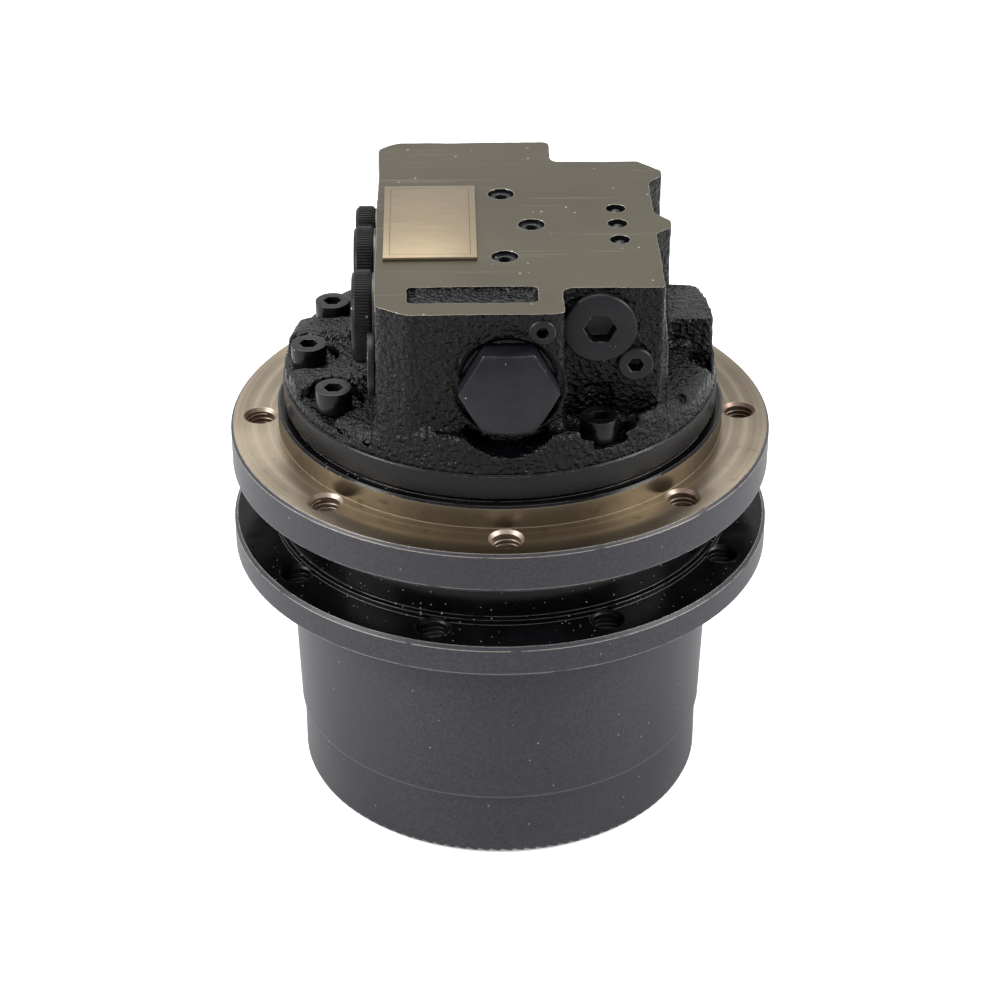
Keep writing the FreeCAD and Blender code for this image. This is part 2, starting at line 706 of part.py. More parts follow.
def friction_discs():
    discs = []
    for i in range(DISCS):
        z = brake_level(i) + PLATE_T + FACE_GAP
        discs.append(tube(BRAKE_R - 4.0, BLOCK_R + 0.05, z, DISC_T))
    return group(discs)


BRAKE_PISTON_Z = brake_level(DISCS) + PLATE_T + FACE_GAP
SPRING_POCKET = 9.0


def brake_piston():
    """Ring piston, pushed down by springs and up by oil pressure."""
    z = BRAKE_PISTON_Z
    step = PISTON_BORE_Z + 1.5 - z
    top = z + BRAKE_PISTON_H
    profile = [(BLOCK_R + 3.5, z), (BRAKE_R - RUN_FIT - 0.02, z), (BRAKE_R - RUN_FIT - 0.02, z + step),
               (PISTON_BORE_R - RUN_FIT, z + step), (PISTON_BORE_R - RUN_FIT, z + step + 2.2),
               (PISTON_BORE_R - 2.2, z + step + 2.2), (PISTON_BORE_R - 2.2, z + step + 4.6),
               (PISTON_BORE_R - RUN_FIT, z + step + 4.6), (PISTON_BORE_R - RUN_FIT, top), (BLOCK_R + 3.5, top)]
    pocket = cylinder(SPRING_R + 0.5, SPRING_POCKET + 1, V(SPRING_PCD / 2, 0, top - SPRING_POCKET))
    return cut(revolve(profile), *around(pocket, SPRINGS))


def piston_seal():
    z = PISTON_BORE_Z + 1.5 + 2.3
    return tube(PISTON_BORE_R - 0.05, PISTON_BORE_R - 2.1, z, 2.2)


def brake_springs():
    """Springs between the brake piston and the cover."""
    z = BRAKE_PISTON_Z + BRAKE_PISTON_H - SPRING_POCKET
    at = V(SPRING_PCD / 2, 0, z)
    length = JOINT_Z - z - SMALL_GAP
    spring = cylinder(SPRING_R, length, at).cut(cylinder(SPRING_R - 1.2, length, at))
    return group(around(spring, SPRINGS))


# ---------------------------------------------------------------- motor cover and valve block
def cast_flange():
    """Machined band, cast wall and rounded shoulder of the cover."""
    arc = []
    for i in range(4):
        a = math.radians(30.0 * i)
        arc.append((CAST_R - SHOULDER_R * (1 - math.cos(a)), CAST_Z - SHOULDER_R * (1 - math.sin(a))))
    profile = [(0, JOINT_Z), (BAND_R - 0.5, JOINT_Z), (BAND_R, JOINT_Z + 0.5), (BAND_R, JOINT_Z + BAND_H),
               (CAST_R, JOINT_Z + BAND_H + 0.5)] + arc + [(0, CAST_Z)]
    return revolve(profile)


def block_outline():
    """Plan of the valve block's machined top."""
    x0, x1, x2 = BLOCK_LEFT, BLOCK_RIGHT, BLOCK_RIGHT + WALL_BULGE
    return rounded_outline([
        (x0, BLOCK_FRONT + 6.5, 4.0), (x0 + 11.0, BLOCK_FRONT, 7.0),
        (BLOCK_STEP_X, BLOCK_FRONT, CORNER_R), (BLOCK_STEP_X, BLOCK_STEP_Y, CORNER_R),
        (x1, BLOCK_STEP_Y, 1.5), (x1, -10.5, 1.5), (x2, -5.5, 2.5), (x2, 0.5, 2.5),
        (x1, 7.5, 2.5), (x1, 33.5, 1.5), (x2, 39.5, 2.5), (x2, 44.5, 1.5),
        (x1 - 3.0, BACK_STEP_Y, 2.5),
        (BACK_STEP_X, BACK_STEP_Y, CORNER_R), (BACK_STEP_X, BLOCK_BACK, CORNER_R),
        (x0 + 6.0, BLOCK_BACK, 5.0), (x0, BLOCK_BACK - 6.0, 4.0)])


def valve_block():
    outline = block_outline()
    outline.translate(V(0, 0, CAST_Z - 6))
    block = Part.Face(outline).extrude(V(0, 0, TOP_Z - CAST_Z + 6))
    block = fuse(block, wall_draft())
    return block.common(cylinder(PILOT_R - PASS_GAP, TOP_Z))


def wall_draft():
    """Wedge that gives the cast right wall its draft, from the milled top down to the lug's level."""
    inside = BLOCK_RIGHT - 1.0
    foot = JOINT_Z + LUG_RISE
    corners = [V(inside, BLOCK_STEP_Y + CORNER_R, TOP_Z), V(BLOCK_RIGHT, BLOCK_STEP_Y + CORNER_R, TOP_Z),
               V(BLOCK_RIGHT + WALL_DRAFT, BLOCK_STEP_Y + CORNER_R, foot),
               V(BLOCK_RIGHT + WALL_DRAFT, BLOCK_STEP_Y + CORNER_R, CAST_Z - 1),
               V(inside, BLOCK_STEP_Y + CORNER_R, CAST_Z - 1)]
    side = Part.Face(Part.makePolygon(corners + corners[:1]))
    return side.extrude(V(0, -BLOCK_STEP_Y - CORNER_R - 5.5, 0))


def right_lug():
    """Raised cast lug beside the block."""
    lug = box(BLOCK_RIGHT - 4, CAST_R, LUG_FRONT, LUG_BACK, CAST_Z - 6, JOINT_Z + LUG_RISE)
    rough = cylinder(CAST_R - 0.9, TOP_Z)
    lug = lug.common(rough)
    corners = [e for e in lug.Edges if abs(e.BoundBox.ZMin - e.BoundBox.ZMax) > 10 and e.BoundBox.XMin > 60]
    return lug.makeFillet(2.0, corners)


def screw_seat(angle):
    """Floor level of a cap screw's pocket."""
    return JOINT_Z + (SCREW_SEAT + 1.7 if angle == SCREW_ANGLES[3] else SCREW_SEAT)


def screw_pockets():
    """Round pockets, open outwards, that the cap screw heads stand in."""
    tools = []
    for angle in SCREW_ANGLES:
        z = screw_seat(angle)
        at = polar(SCREW_PCD / 2, angle, z)
        tools.append(cylinder(SCREW_POCKET_R, 16, at))
        rise = FRONT_LIP if angle == SCREW_ANGLES[3] else 0.0
        slot = prism([(0, -SCREW_POCKET_R), (20, -SCREW_POCKET_R - 3), (20, SCREW_POCKET_R + 3),
                      (0, SCREW_POCKET_R)], rise, 16)
        slot.rotate(V(0, 0, 0), UP, angle)
        slot.translate(at)
        tools.append(slot)
        tools.append(cylinder(SCREW_R + 0.3, 30, polar(SCREW_PCD / 2, angle, JOINT_Z - 1)))
    return tools


def plug_pocket(side):
    """Pocket and threaded bore of a counterbalance plug; side is -1 in front, 1 behind."""
    face = BLOCK_FRONT if side < 0 else BLOCK_BACK
    floor = face - side * (PLUG_HEAD_T - PLUG_PROUD)
    out = V(0, side, 0)
    at = V(SPOOL_X, floor, SPOOL_Z)
    thread = cylinder(PLUG_THREAD_R + SEAT_FIT, PLUG_THREAD_L, at, out * -1)
    return [cylinder(PLUG_POCKET_R, 40, at, out), thread]


def spool_bore():
    length = BLOCK_BACK - BLOCK_FRONT - 20
    return cylinder(SPOOL_R + RUN_FIT, length, V(SPOOL_X, BLOCK_FRONT + 10, SPOOL_Z), V(0, 1, 0))


def port_places():
    """Centre, cap radius and thread radius of the three ports on the left face."""
    z = JOINT_Z + PORT_Z
    return [(PORT_A_Y, z, PORT_CAP_R, PORT_THREAD_R), (PORT_A_Y + PORT_PITCH, z, PORT_CAP_R, PORT_THREAD_R),
            (DRAIN_Y, z, DRAIN_CAP_R, DRAIN_THREAD_R)]


SOCKET_PLUG = (33.0, BLOCK_STEP_Y, JOINT_Z + 53.1, 12.8, 10.4, 10.0)
GAUGE_PLUG = (45.6, BLOCK_STEP_Y, JOINT_Z + 38.8, 6.2, 4.9, 5.0)
ORIFICE_PLUG = (12.5, BLOCK_FRONT, JOINT_Z + 60.6, 4.6, 3.8, 4.0)
TOP_PLUGS = ((0.9, 24.6), (11.2, -1.8), (1.0, -27.6))
TOP_PLUG_R = 5.7
BALL_PLUGS = ((42.0, 11.2), (42.0, -1.4), (42.0, -14.8))
BALL_PLUG_R = 3.6
SIDE_PLUG = (-51.0, JOINT_Z + 38.1)
SPOT_FACE_GAP = 0.5


def motor_cover():
    """Casting that closes the motor and carries the valve block."""
    body = fuse(cast_flange(), front_bank(), valve_block(), right_lug())
    boss = cylinder(BLOCK_R - 1.0, JOINT_Z - VALVE_PLATE_Z + 1, V(0, 0, VALVE_PLATE_Z))
    body = fuse(body, boss)
    tools = screw_pockets() + plug_pocket(-1) + plug_pocket(1) + [spool_bore()]
    tools.append(cylinder(REAR_BEARING_R, REAR_BEARING_W, V(0, 0, VALVE_PLATE_Z)))
    for y, z, _, thread_r in port_places():
        tools.append(cylinder(thread_r + SEAT_FIT, PORT_THREAD_L + 4, V(BLOCK_LEFT, y, z), V(1, 0, 0)))
    tools.append(cylinder(5.0, 6, V(BLOCK_LEFT, SIDE_PLUG[0], SIDE_PLUG[1]), V(1, 0, 0)))
    for x, y, z, head_r, thread_r, _ in (SOCKET_PLUG, GAUGE_PLUG, ORIFICE_PLUG):
        tools.append(cylinder(thread_r + SEAT_FIT, 9, V(x, y, z), V(0, 1, 0)))
        tools.append(cylinder(head_r + SPOT_FACE_GAP, 8, V(x, y, z), V(0, -1, 0)))
    for x, y in TOP_PLUGS:
        tools.append(cylinder(TOP_PLUG_R - 0.9, 7, V(x, y, TOP_Z - 7)))
        tools.append(Part.makeCone(TOP_PLUG_R - 0.9, TOP_PLUG_R, 0.9, V(x, y, TOP_Z - 0.9)))
    for x, y in BALL_PLUGS:
        tools.append(cylinder(BALL_PLUG_R, 6, V(x, y, TOP_Z - 6)))
        tools.append(Part.makeCone(BALL_PLUG_R, BALL_PLUG_R + 0.9, 0.9, V(x, y, TOP_Z - 0.9)))
    tools.append(top_recess())
    tools.append(pocket_relief())
    tools.append(oil_hole())
    tools.append(side_pocket())
    tools.append(front_step())
    return cut(body, *tools)


def front_bank():
    """Higher part of the cast wall, in front of the block."""
    top = CAST_Z + FRONT_RISE
    bank = box(BLOCK_LEFT + 3, BLOCK_RIGHT + 1.5, -CAST_R, BLOCK_STEP_Y - 1, CAST_Z - SHOULDER_R - 1, top)
    wall = revolve([(0, JOINT_Z), (CAST_R, JOINT_Z), (CAST_R, top - 1.4), (CAST_R - 1.4, top), (0, top)])
    return bank.common(wall)


def top_recess():
    """Shallow cast recess in the machined top."""
    return box(*TOP_RECESS, TOP_Z - TOP_RECESS_DEEP, TOP_Z + 1)


def pocket_relief():
    """Cast hollow below the front plug's pocket, open to the outside."""
    at = V(SPOOL_X, BLOCK_FRONT + PLUG_HEAD_T - PLUG_PROUD, SPOOL_Z - POCKET_RELIEF)
    return cylinder(PLUG_POCKET_R - 0.3, 40, at, V(0, -1, 0))


def oil_hole():
    """Small blind hole in the shoulder beside the block's front right corner."""
    return cylinder(1.9, 9, polar(CAST_R + 2, -34.0, CAST_Z + 3), V(-0.64, 0.43, -0.64))


def side_pocket():
    """Deep cast pocket in front of the right lug."""
    pocket = box(SIDE_POCKET_X, CAST_R + 1, SIDE_POCKET_Y, LUG_FRONT, JOINT_Z + SIDE_POCKET_RISE, CAST_Z + 1)
    wall = tube(CAST_R + 2, CAST_R - SIDE_POCKET_WALL, JOINT_Z, SIDE_POCKET_RISE + SIDE_POCKET_WALL)
    return pocket.cut(wall)


def front_step():
    """Lowered floor beside the front right face of the block."""
    top = CAST_Z + FRONT_RISE + 1
    floor = box(BLOCK_STEP_X + 1, STEP_RIGHT, -CAST_R, BLOCK_STEP_Y, JOINT_Z + STEP_RISE, top)
    return floor.common(cylinder(CAST_R - STEP_WALL, top))


def cover_screws():
    """Socket cap screws that hold the cover on the spindle."""
    screws = []
    for angle in SCREW_ANGLES:
        z = screw_seat(angle)
        head = cylinder(SCREW_HEAD_R, SCREW_HEAD_H, polar(SCREW_PCD / 2, angle, z))
        shank = cylinder(SCREW_R, z - JOINT_Z + 19, polar(SCREW_PCD / 2, angle, JOINT_Z - 19))
        key = hexagon(HEX_KEY, 4.5, polar(SCREW_PCD / 2, angle, z + SCREW_HEAD_H - 4.5), UP)
        screws.append(fuse(head, shank).cut(key))
    return group(screws)


def hex_plug(side):
    """Hexagon plug over one end of the counterbalance spool."""
    face = BLOCK_FRONT if side < 0 else BLOCK_BACK
    floor = face - side * (PLUG_HEAD_T - PLUG_PROUD)
    out = V(0, side, 0)
    head = hexagon(PLUG_AF, PLUG_HEAD_T - 2.0, V(SPOOL_X, floor + side * 2.0, SPOOL_Z), out)
    face_r = PLUG_AF / 2 * 0.95
    chamfer = Part.makeCone(face_r + PLUG_HEAD_T * 2.6, face_r, PLUG_HEAD_T, V(SPOOL_X, floor, SPOOL_Z), out)
    collar = cylinder(PLUG_AF / 2 + 1.2, 2.0, V(SPOOL_X, floor, SPOOL_Z), out)
    thread = cylinder(PLUG_THREAD_R, PLUG_THREAD_L, V(SPOOL_X, floor, SPOOL_Z), out * -1)
    cup = cylinder(PLUG_THREAD_R - 4, PLUG_THREAD_L, V(SPOOL_X, floor, SPOOL_Z), out * -1)
    return fuse(head.common(chamfer), collar, thread).cut(cup)


def spool():
    """Counterbalance spool with two lands relieved."""
    start = (BLOCK_FRONT + BLOCK_BACK) / 2 - SPOOL_L / 2
    body = cylinder(SPOOL_R, SPOOL_L, V(SPOOL_X, start, SPOOL_Z), V(0, 1, 0))
    for along in (0.28, 0.72):
        at = V(SPOOL_X, start + SPOOL_L * along - 6, SPOOL_Z)
        relief = cylinder(SPOOL_R + 1, 12, at, V(0, 1, 0)).cut(cylinder(SPOOL_R - 2.5, 12, at, V(0, 1, 0)))
        body = body.cut(relief)
    return body


def spool_springs():
    """Short return springs, seated in the two plugs."""
    springs = []
    half = (BLOCK_BACK - BLOCK_FRONT) / 2
    middle = (BLOCK_FRONT + BLOCK_BACK) / 2
    seat = half - PLUG_HEAD_T + PLUG_PROUD
    length = seat - SPOOL_L / 2 - SPOOL_TRAVEL - FACE_GAP
    for side in (-1, 1):
        at = V(SPOOL_X, middle + side * seat, SPOOL_Z)
        out = V(0, -side, 0)
        coil = cylinder(SPOOL_R - 0.5, length, at, out)
        springs.append(coil.cut(cylinder(SPOOL_R - 2.0, length, at, out)))
    return group(springs)


def port_plugs():
    """Knurled plugs that close the ports."""
    plugs = []
    for y, z, cap_r, thread_r in port_places():
        face = BLOCK_LEFT - CAP_WASHER_T
        cap = cylinder(cap_r, CAP_T - 1, V(face, y, z), V(-1, 0, 0))
        crown = Part.makeCone(cap_r, cap_r - 1, 1, V(face - CAP_T + 1, y, z), V(-1, 0, 0))
        stem = cylinder(thread_r, PORT_THREAD_L + CAP_WASHER_T, V(face, y, z), V(1, 0, 0))
        plugs.append(fuse(cap, crown, stem))
    return group(plugs)


def port_washers():
    washers = []
    for y, z, cap_r, thread_r in port_places():
        at = V(BLOCK_LEFT, y, z)
        ring = cylinder(cap_r - 0.6, CAP_WASHER_T, at, V(-1, 0, 0))
        washers.append(ring.cut(cylinder(thread_r + SEAT_FIT, CAP_WASHER_T, at, V(-1, 0, 0))))
    return group(washers)


def side_plug():
    """Low flanged plug under the front port."""
    y, z = SIDE_PLUG
    flange = cylinder(11.0, 2.6, V(BLOCK_LEFT, y, z), V(-1, 0, 0))
    stem = cylinder(5.0 - SEAT_FIT, 6, V(BLOCK_LEFT, y, z), V(1, 0, 0))
    return fuse(flange, stem)


def socket_plug(place, proud):
    """Round plug with a hexagon socket, standing a little proud of its face."""
    x, y, z, head_r, thread_r, key = place
    out = V(0, -1, 0)
    head = cylinder(head_r, proud - 0.5, V(x, y, z), out)
    rim = Part.makeCone(head_r, head_r - 0.5, 0.5, V(x, y - proud + 0.5, z), out)
    stem = cylinder(thread_r, 8, V(x, y, z), V(0, 1, 0))
    key_hole = hexagon(key, 6, V(x, y - proud, z), V(0, 1, 0))
    return fuse(head, rim, stem).cut(key_hole)


def top_plugs():
    plugs = []
    for x, y in TOP_PLUGS:
        plug = cylinder(TOP_PLUG_R - 0.9 - SEAT_FIT, 6, V(x, y, TOP_Z - 7))
        plugs.append(plug.cut(hexagon(4.0, 4, V(x, y, TOP_Z - 5), UP)))
    return group(plugs)


def ball_plugs():
    plugs = [cylinder(BALL_PLUG_R - SEAT_FIT, 5, V(x, y, TOP_Z - 6)) for x, y in BALL_PLUGS]
    return group(plugs)


def name_plate():
    width, length, thickness = NAME_PLATE
    x, y = NAME_PLATE_AT
    return box(x, x + width, y, y + length, TOP_Z, TOP_Z + thickness)


# ---------------------------------------------------------------- all the pieces
def build():
    save("spindle", spindle())
    save("sprocket_housing", sprocket_housing())
    save("end_cover", end_cover())
    save("oil_plugs", oil_plugs())
    save("end_cover_ring", retaining_ring())
    save("end_cover_seal", cover_seal())
    save("first_sun", drive_sun())
    save("first_sun_ring", sun_ring())
    save("first_carrier", first_carrier())
    save("first_pins", first_pins())
    save("first_pin_rings", pin_rings(CENTRE1, PIN1_R, STAGE1_Z - 1.15))
    save("thrust_washers", thrust_washers())
    save("second_sun", second_sun())
    save("second_carrier", second_carrier())
    save("carrier_screws", carrier_screws())
    save("second_pins", second_pins())
    save("second_pin_rings", pin_rings(CENTRE2, PIN2_R, STAGE2_Z - 1.15))
    for number, angle in enumerate(PLANET_ANGLES, 1):
        bore1 = PIN1_R + SEAT_FIT + BUSH_T + RUN_FIT
        bore2 = PIN2_R + SEAT_FIT + BUSH_T + RUN_FIT
        save("first_planet_%d" % number, planet(PLANET1_TEETH, CENTRE1, angle, STAGE1_Z, STAGE1_W, bore1))
        save("second_planet_%d" % number, planet(PLANET2_TEETH, CENTRE2, angle, STAGE2_Z, STAGE2_W, bore2))
    save("first_bushes", bushes(CENTRE1, STAGE1_Z, STAGE1_W, PIN1_R))
    save("second_bushes", bushes(CENTRE2, STAGE2_Z, STAGE2_W, PIN2_R))
    low = (LOW_RACE_Z, LOW_RACE_IN, LOW_RACE_OUT)
    high = (HIGH_RACE_Z, HIGH_RACE_IN, HIGH_RACE_OUT)
    save("inner_races", group([inner_race(z, bore_r) for z, bore_r, _ in (low, high)]))
    save("outer_races", group([outer_race(z, outer_r) for z, _, outer_r in (low, high)]))
    save("lower_roller_set", group(rollers(*low) + [cage(*low)]))
    save("upper_roller_set", group(rollers(*high) + [cage(*high)]))
    seal_z = HIGH_RACE_Z + RACE_W + 5.0
    save("housing_seal_ring", seal_ring(seal_z, 3.4))
    save("spindle_seal_ring", seal_ring(seal_z + 3.5, 3.4))
    save("housing_seal_rubber", rubber_ring(HUB_BORE_R - 0.05, SEAL_RING_R - 2.2, seal_z - 3.4, 3.2))
    save("spindle_seal_rubber", rubber_ring(SEAL_RING_IN + 1.0, NECK_R + 0.05, seal_z + 3.6, 3.4))
    save("drive_shaft", drive_shaft())
    save("front_shaft_bearing", bearing_ring(FRONT_BEARING_R, MOTOR_SHAFT_R + 0.5, FRONT_BEARING_Z,
                                             FRONT_BEARING_W))
    save("rear_shaft_bearing", bearing_ring(REAR_BEARING_R, SHAFT_R, VALVE_PLATE_Z + 0.5, REAR_BEARING_W - 1.5))
    save("shaft_seal", shaft_seal())
    save("swash_plate", swash_plate())
    save("pistons", pistons())
    save("slipper_retainer", slipper_retainer())
    save("cylinder_block", cylinder_block())
    save("valve_plate", valve_plate())
    save("brake_plates", brake_plates())
    save("friction_discs", friction_discs())
    save("brake_piston", brake_piston())
    save("brake_piston_seal", piston_seal())
    save("brake_springs", brake_springs())
    save("cover_joint_seal", cover_joint_seal())
    save("motor_cover", motor_cover())
    save("cover_screws", cover_screws())
    save("spool_plugs", group([hex_plug(-1), hex_plug(1)]))
    save("counterbalance_spool", spool())
    save("spool_springs", spool_springs())
    save("port_plugs", port_plugs())
    save("port_washers", port_washers())
    save("side_plug", side_plug())
    face_plugs = ((SOCKET_PLUG, 2.3), (GAUGE_PLUG, 2.0), (ORIFICE_PLUG, 0.6))
    save("face_plugs", group([socket_plug(place, proud) for place, proud in face_plugs]))
    save("top_plugs", top_plugs())
    save("ball_plugs", ball_plugs())
    save("name_plate", name_plate())


build()
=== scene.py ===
"""Finish of a travel final drive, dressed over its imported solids.

The file goes from the ground up: studio, sprocket housing, frame spindle, motor cover, screws, plugs,
port caps and name plate, and last the pieces that only show when the drive is taken apart.
"""
import json
import math

import bmesh
import bpy
from mathutils import Matrix, Vector, noise


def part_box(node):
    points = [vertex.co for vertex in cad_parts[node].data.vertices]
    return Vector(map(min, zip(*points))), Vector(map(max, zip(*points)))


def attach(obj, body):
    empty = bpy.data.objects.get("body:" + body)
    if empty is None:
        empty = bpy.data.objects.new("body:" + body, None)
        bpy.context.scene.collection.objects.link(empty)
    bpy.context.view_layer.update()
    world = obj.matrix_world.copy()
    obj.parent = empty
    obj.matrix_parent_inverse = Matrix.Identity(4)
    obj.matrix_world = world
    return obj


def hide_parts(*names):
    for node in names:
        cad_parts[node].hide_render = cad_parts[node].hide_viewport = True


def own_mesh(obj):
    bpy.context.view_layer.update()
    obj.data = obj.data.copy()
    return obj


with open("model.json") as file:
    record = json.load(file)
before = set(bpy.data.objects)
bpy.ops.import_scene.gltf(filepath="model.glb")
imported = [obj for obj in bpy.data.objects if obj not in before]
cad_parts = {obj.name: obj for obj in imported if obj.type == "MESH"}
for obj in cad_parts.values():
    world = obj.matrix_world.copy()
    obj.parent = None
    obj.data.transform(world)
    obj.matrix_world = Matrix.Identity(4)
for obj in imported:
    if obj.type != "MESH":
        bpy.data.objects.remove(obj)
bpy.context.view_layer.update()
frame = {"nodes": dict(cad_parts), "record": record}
nodes = frame["nodes"]
MM = 0.001

# ------------------------------------------------------------------ camera, floor and studio light
# The drive stands on a pale table between soft boxes.  The camera looks down on it from the front,
# from a metre away, with a long lens.
scene = bpy.context.scene
scene.view_settings.view_transform = "Standard"
AIM = Vector((0.0, 0.0, 0.1089))
CAMERA_RISE = math.radians(31.08)
CAMERA_TURN = math.radians(-1.4)
CAMERA_AWAY = 1.0042

camera_data = bpy.data.cameras.new("camera")
camera_data.sensor_width = 36.0
camera_data.lens = 95.1
camera_data.clip_start = 0.01
camera = bpy.data.objects.new("camera", camera_data)
scene.collection.objects.link(camera)
level_reach = math.cos(CAMERA_RISE)
toward = Vector((math.sin(CAMERA_TURN) * level_reach, -math.cos(CAMERA_TURN) * level_reach,
                 math.sin(CAMERA_RISE)))
camera.location = AIM + toward * CAMERA_AWAY
camera.rotation_euler = (-toward).to_track_quat("-Z", "Y").to_euler()
scene.camera = camera


class Reading:
    """One socket's output in a node tree, which Python's operators turn into Math nodes."""

    def __init__(self, graph, socket):
        self.graph, self.socket = graph, socket

    def __add__(self, other): return self.graph.math("ADD", self, other)
    def __radd__(self, other): return self.graph.math("ADD", other, self)
    def __sub__(self, other): return self.graph.math("SUBTRACT", self, other)
    def __rsub__(self, other): return self.graph.math("SUBTRACT", other, self)
    def __mul__(self, other): return self.graph.math("MULTIPLY", self, other)
    def __rmul__(self, other): return self.graph.math("MULTIPLY", other, self)
    def __gt__(self, other): return self.graph.math("GREATER_THAN", self, other)
    def __lt__(self, other): return self.graph.math("LESS_THAN", self, other)


class Graph:
    """A node tree, and the one way in which its nodes are made."""

    def __init__(self, tree):
        self.tree = tree

    def node(self, kind, settings, sockets, out=0):
        made = self.tree.nodes.new(kind)
        for name, value in settings.items():
            setattr(made, name, value)
        for name, value in sockets.items():
            if isinstance(value, Reading):
                self.tree.links.new(value.socket, made.inputs[name])
            else:
                made.inputs[name].default_value = value
        return Reading(self, made.outputs[out]) if made.outputs else None

    def math(self, operation, first, second=0.0):
        return self.node("ShaderNodeMath", {"operation": operation}, {0: first, 1: second})


class Finish(Graph):
    """The shader of a material, or of the world's light."""

    def __init__(self, owner):
        owner.use_nodes = True
        super().__init__(owner.node_tree)
        self.owner = owner
        self.tree.nodes.clear()

    def place(self, stretch=(1.0, 1.0, 1.0)):
        """The point on the object, in metres, stretched along its axes."""
        point = self.node("ShaderNodeTexCoord", {}, {}, "Object")
        return self.node("ShaderNodeMapping", {}, {"Vector": point, "Scale": stretch})

    def grain(self, scale, detail=2.0, stretch=(1.0, 1.0, 1.0)):
        """Noise from 0 to 1 with so many waves a metre."""
        sockets = {"Vector": self.place(stretch), "Scale": scale, "Detail": detail}
        return self.node("ShaderNodeTexNoise", {}, sockets, "Fac")

    def between(self, value, low, high):
        """0 below low, 1 above high, and smooth from one to the other."""
        sockets = {"Value": value, "From Min": low, "From Max": high}
        return self.node("ShaderNodeMapRange", {"interpolation_type": "SMOOTHSTEP"}, sockets)

    def specks(self, scale, share, size):
        """1 on small scattered spots: scale in cells a metre, and share of the cells that have one."""
        sockets = {"Vector": self.place(), "Scale": scale}
        reach = self.node("ShaderNodeTexVoronoi", {}, sockets, "Distance")
        draw = self.node("ShaderNodeTexVoronoi", {}, sockets, "Color")
        draw = self.node("ShaderNodeSeparateColor", {}, {"Color": draw}, "Red")
        return (reach < draw * size) * (draw > 1.0 - share)

    def mix(self, share, first, second):
        """One colour going over into another."""
        return self.node("ShaderNodeMix", {"data_type": "RGBA"}, {0: share, 6: first, 7: second}, 2)

    def axis(self, name):
        """One coordinate of the point on the object, in metres."""
        return self.node("ShaderNodeSeparateXYZ", {}, {"Vector": self.place()}, name)

    def from_axis(self):
        """Distance from the drive's upright axis, in metres."""
        out_x, out_y = self.axis("X"), self.axis("Y")
        return self.math("SQRT", out_x * out_x + out_y * out_y)

    def rim(self, radius, low=0.012, high=0.1):
        """1 along the edges, within about radius of them."""
        eased = self.node("ShaderNodeBevel", {"samples": 6}, {"Radius": radius})
        flat = self.node("ShaderNodeNewGeometry", {}, {}, "Normal")
        agree = self.node("ShaderNodeVectorMath", {"operation": "DOT_PRODUCT"}, {0: eased, 1: flat}, "Value")
        return self.between(1.0 - agree, low, high)

    def eased_edges(self, radius):
        """A normal that rounds the edges off by radius."""
        return self.node("ShaderNodeBevel", {"samples": 6}, {"Radius": radius})

    def relief(self, height, depth, normal=None):
        """A normal from a height between 0 and 1, which stands for depth in metres."""
        sockets = {"Height": height, "Distance": depth, "Strength": 1.0}
        if normal:
            sockets["Normal"] = normal
        return self.node("ShaderNodeBump", {}, sockets)

    def skin(self, sockets):
        surface = self.node("ShaderNodeBsdfPrincipled", {}, sockets)
        self.node("ShaderNodeOutputMaterial", {}, {"Surface": surface})
        return self.owner


# the world is white to the eye and to polished metal, and grey as a light
WORLD_GLOW = 0.34
world = Finish(bpy.data.worlds.new("studio"))
scene.world = world.owner
seen = world.node("ShaderNodeLightPath", {}, {}, "Is Camera Ray")
for ray in ("Is Glossy Ray", "Is Transmission Ray"):
    seen = world.math("MAXIMUM", seen, world.node("ShaderNodeLightPath", {}, {}, ray))
glow = seen * (1.0 - WORLD_GLOW) + WORLD_GLOW
light = world.node("ShaderNodeBackground", {}, {"Color": (1.0, 1.0, 1.0, 1.0), "Strength": glow})
world.node("ShaderNodeOutputWorld", {}, {"Surface": light})

FLOOR_HALF, FLOOR_GAP = 3.0, 0.4 * MM
floor_corners = [(x * FLOOR_HALF, y * FLOOR_HALF, 0) for x, y in ((-1, -1), (1, -1), (1, 1), (-1, 1))]
floor_mesh = bpy.data.meshes.new("floor")
floor_mesh.from_pydata(floor_corners, [], [(0, 1, 2, 3)])
floor = bpy.data.objects.new("floor", floor_mesh)
scene.collection.objects.link(floor)
floor.location.z = -FLOOR_GAP
paper = Finish(bpy.data.materials.new("white_table"))
direct = paper.node("ShaderNodeLightPath", {}, {}, "Is Camera Ray")
matt = paper.node("ShaderNodeBsdfDiffuse", {}, {"Color": (0.86, 0.86, 0.86, 1.0)})
bright = paper.node("ShaderNodeEmission", {}, {"Color": (1.0, 1.0, 1.0, 1.0), "Strength": 0.55})
both = paper.node("ShaderNodeAddShader", {}, {0: matt, 1: bright})
surface = paper.node("ShaderNodeMixShader", {}, {0: direct, 1: matt, 2: both})
paper.node("ShaderNodeOutputMaterial", {}, {"Surface": surface})
floor_mesh.materials.append(paper.owner)

for name, spot, size, power in (
        ("soft_box_left", (-0.95, -0.35, 0.8), 0.5, 15.0), ("soft_box_right", (0.95, -0.3, 0.75), 0.5, 12.0),
        ("soft_box_above", (-0.15, 0.45, 1.2), 0.8, 11.0)):
    lamp = bpy.data.lights.new(name, "AREA")
    lamp.shape, lamp.size, lamp.energy = "SQUARE", size, power
    holder = bpy.data.objects.new(name, lamp)
    holder.location = spot
    holder.rotation_euler = (AIM - Vector(spot)).to_track_quat("-Z", "Y").to_euler()
    scene.collection.objects.link(holder)

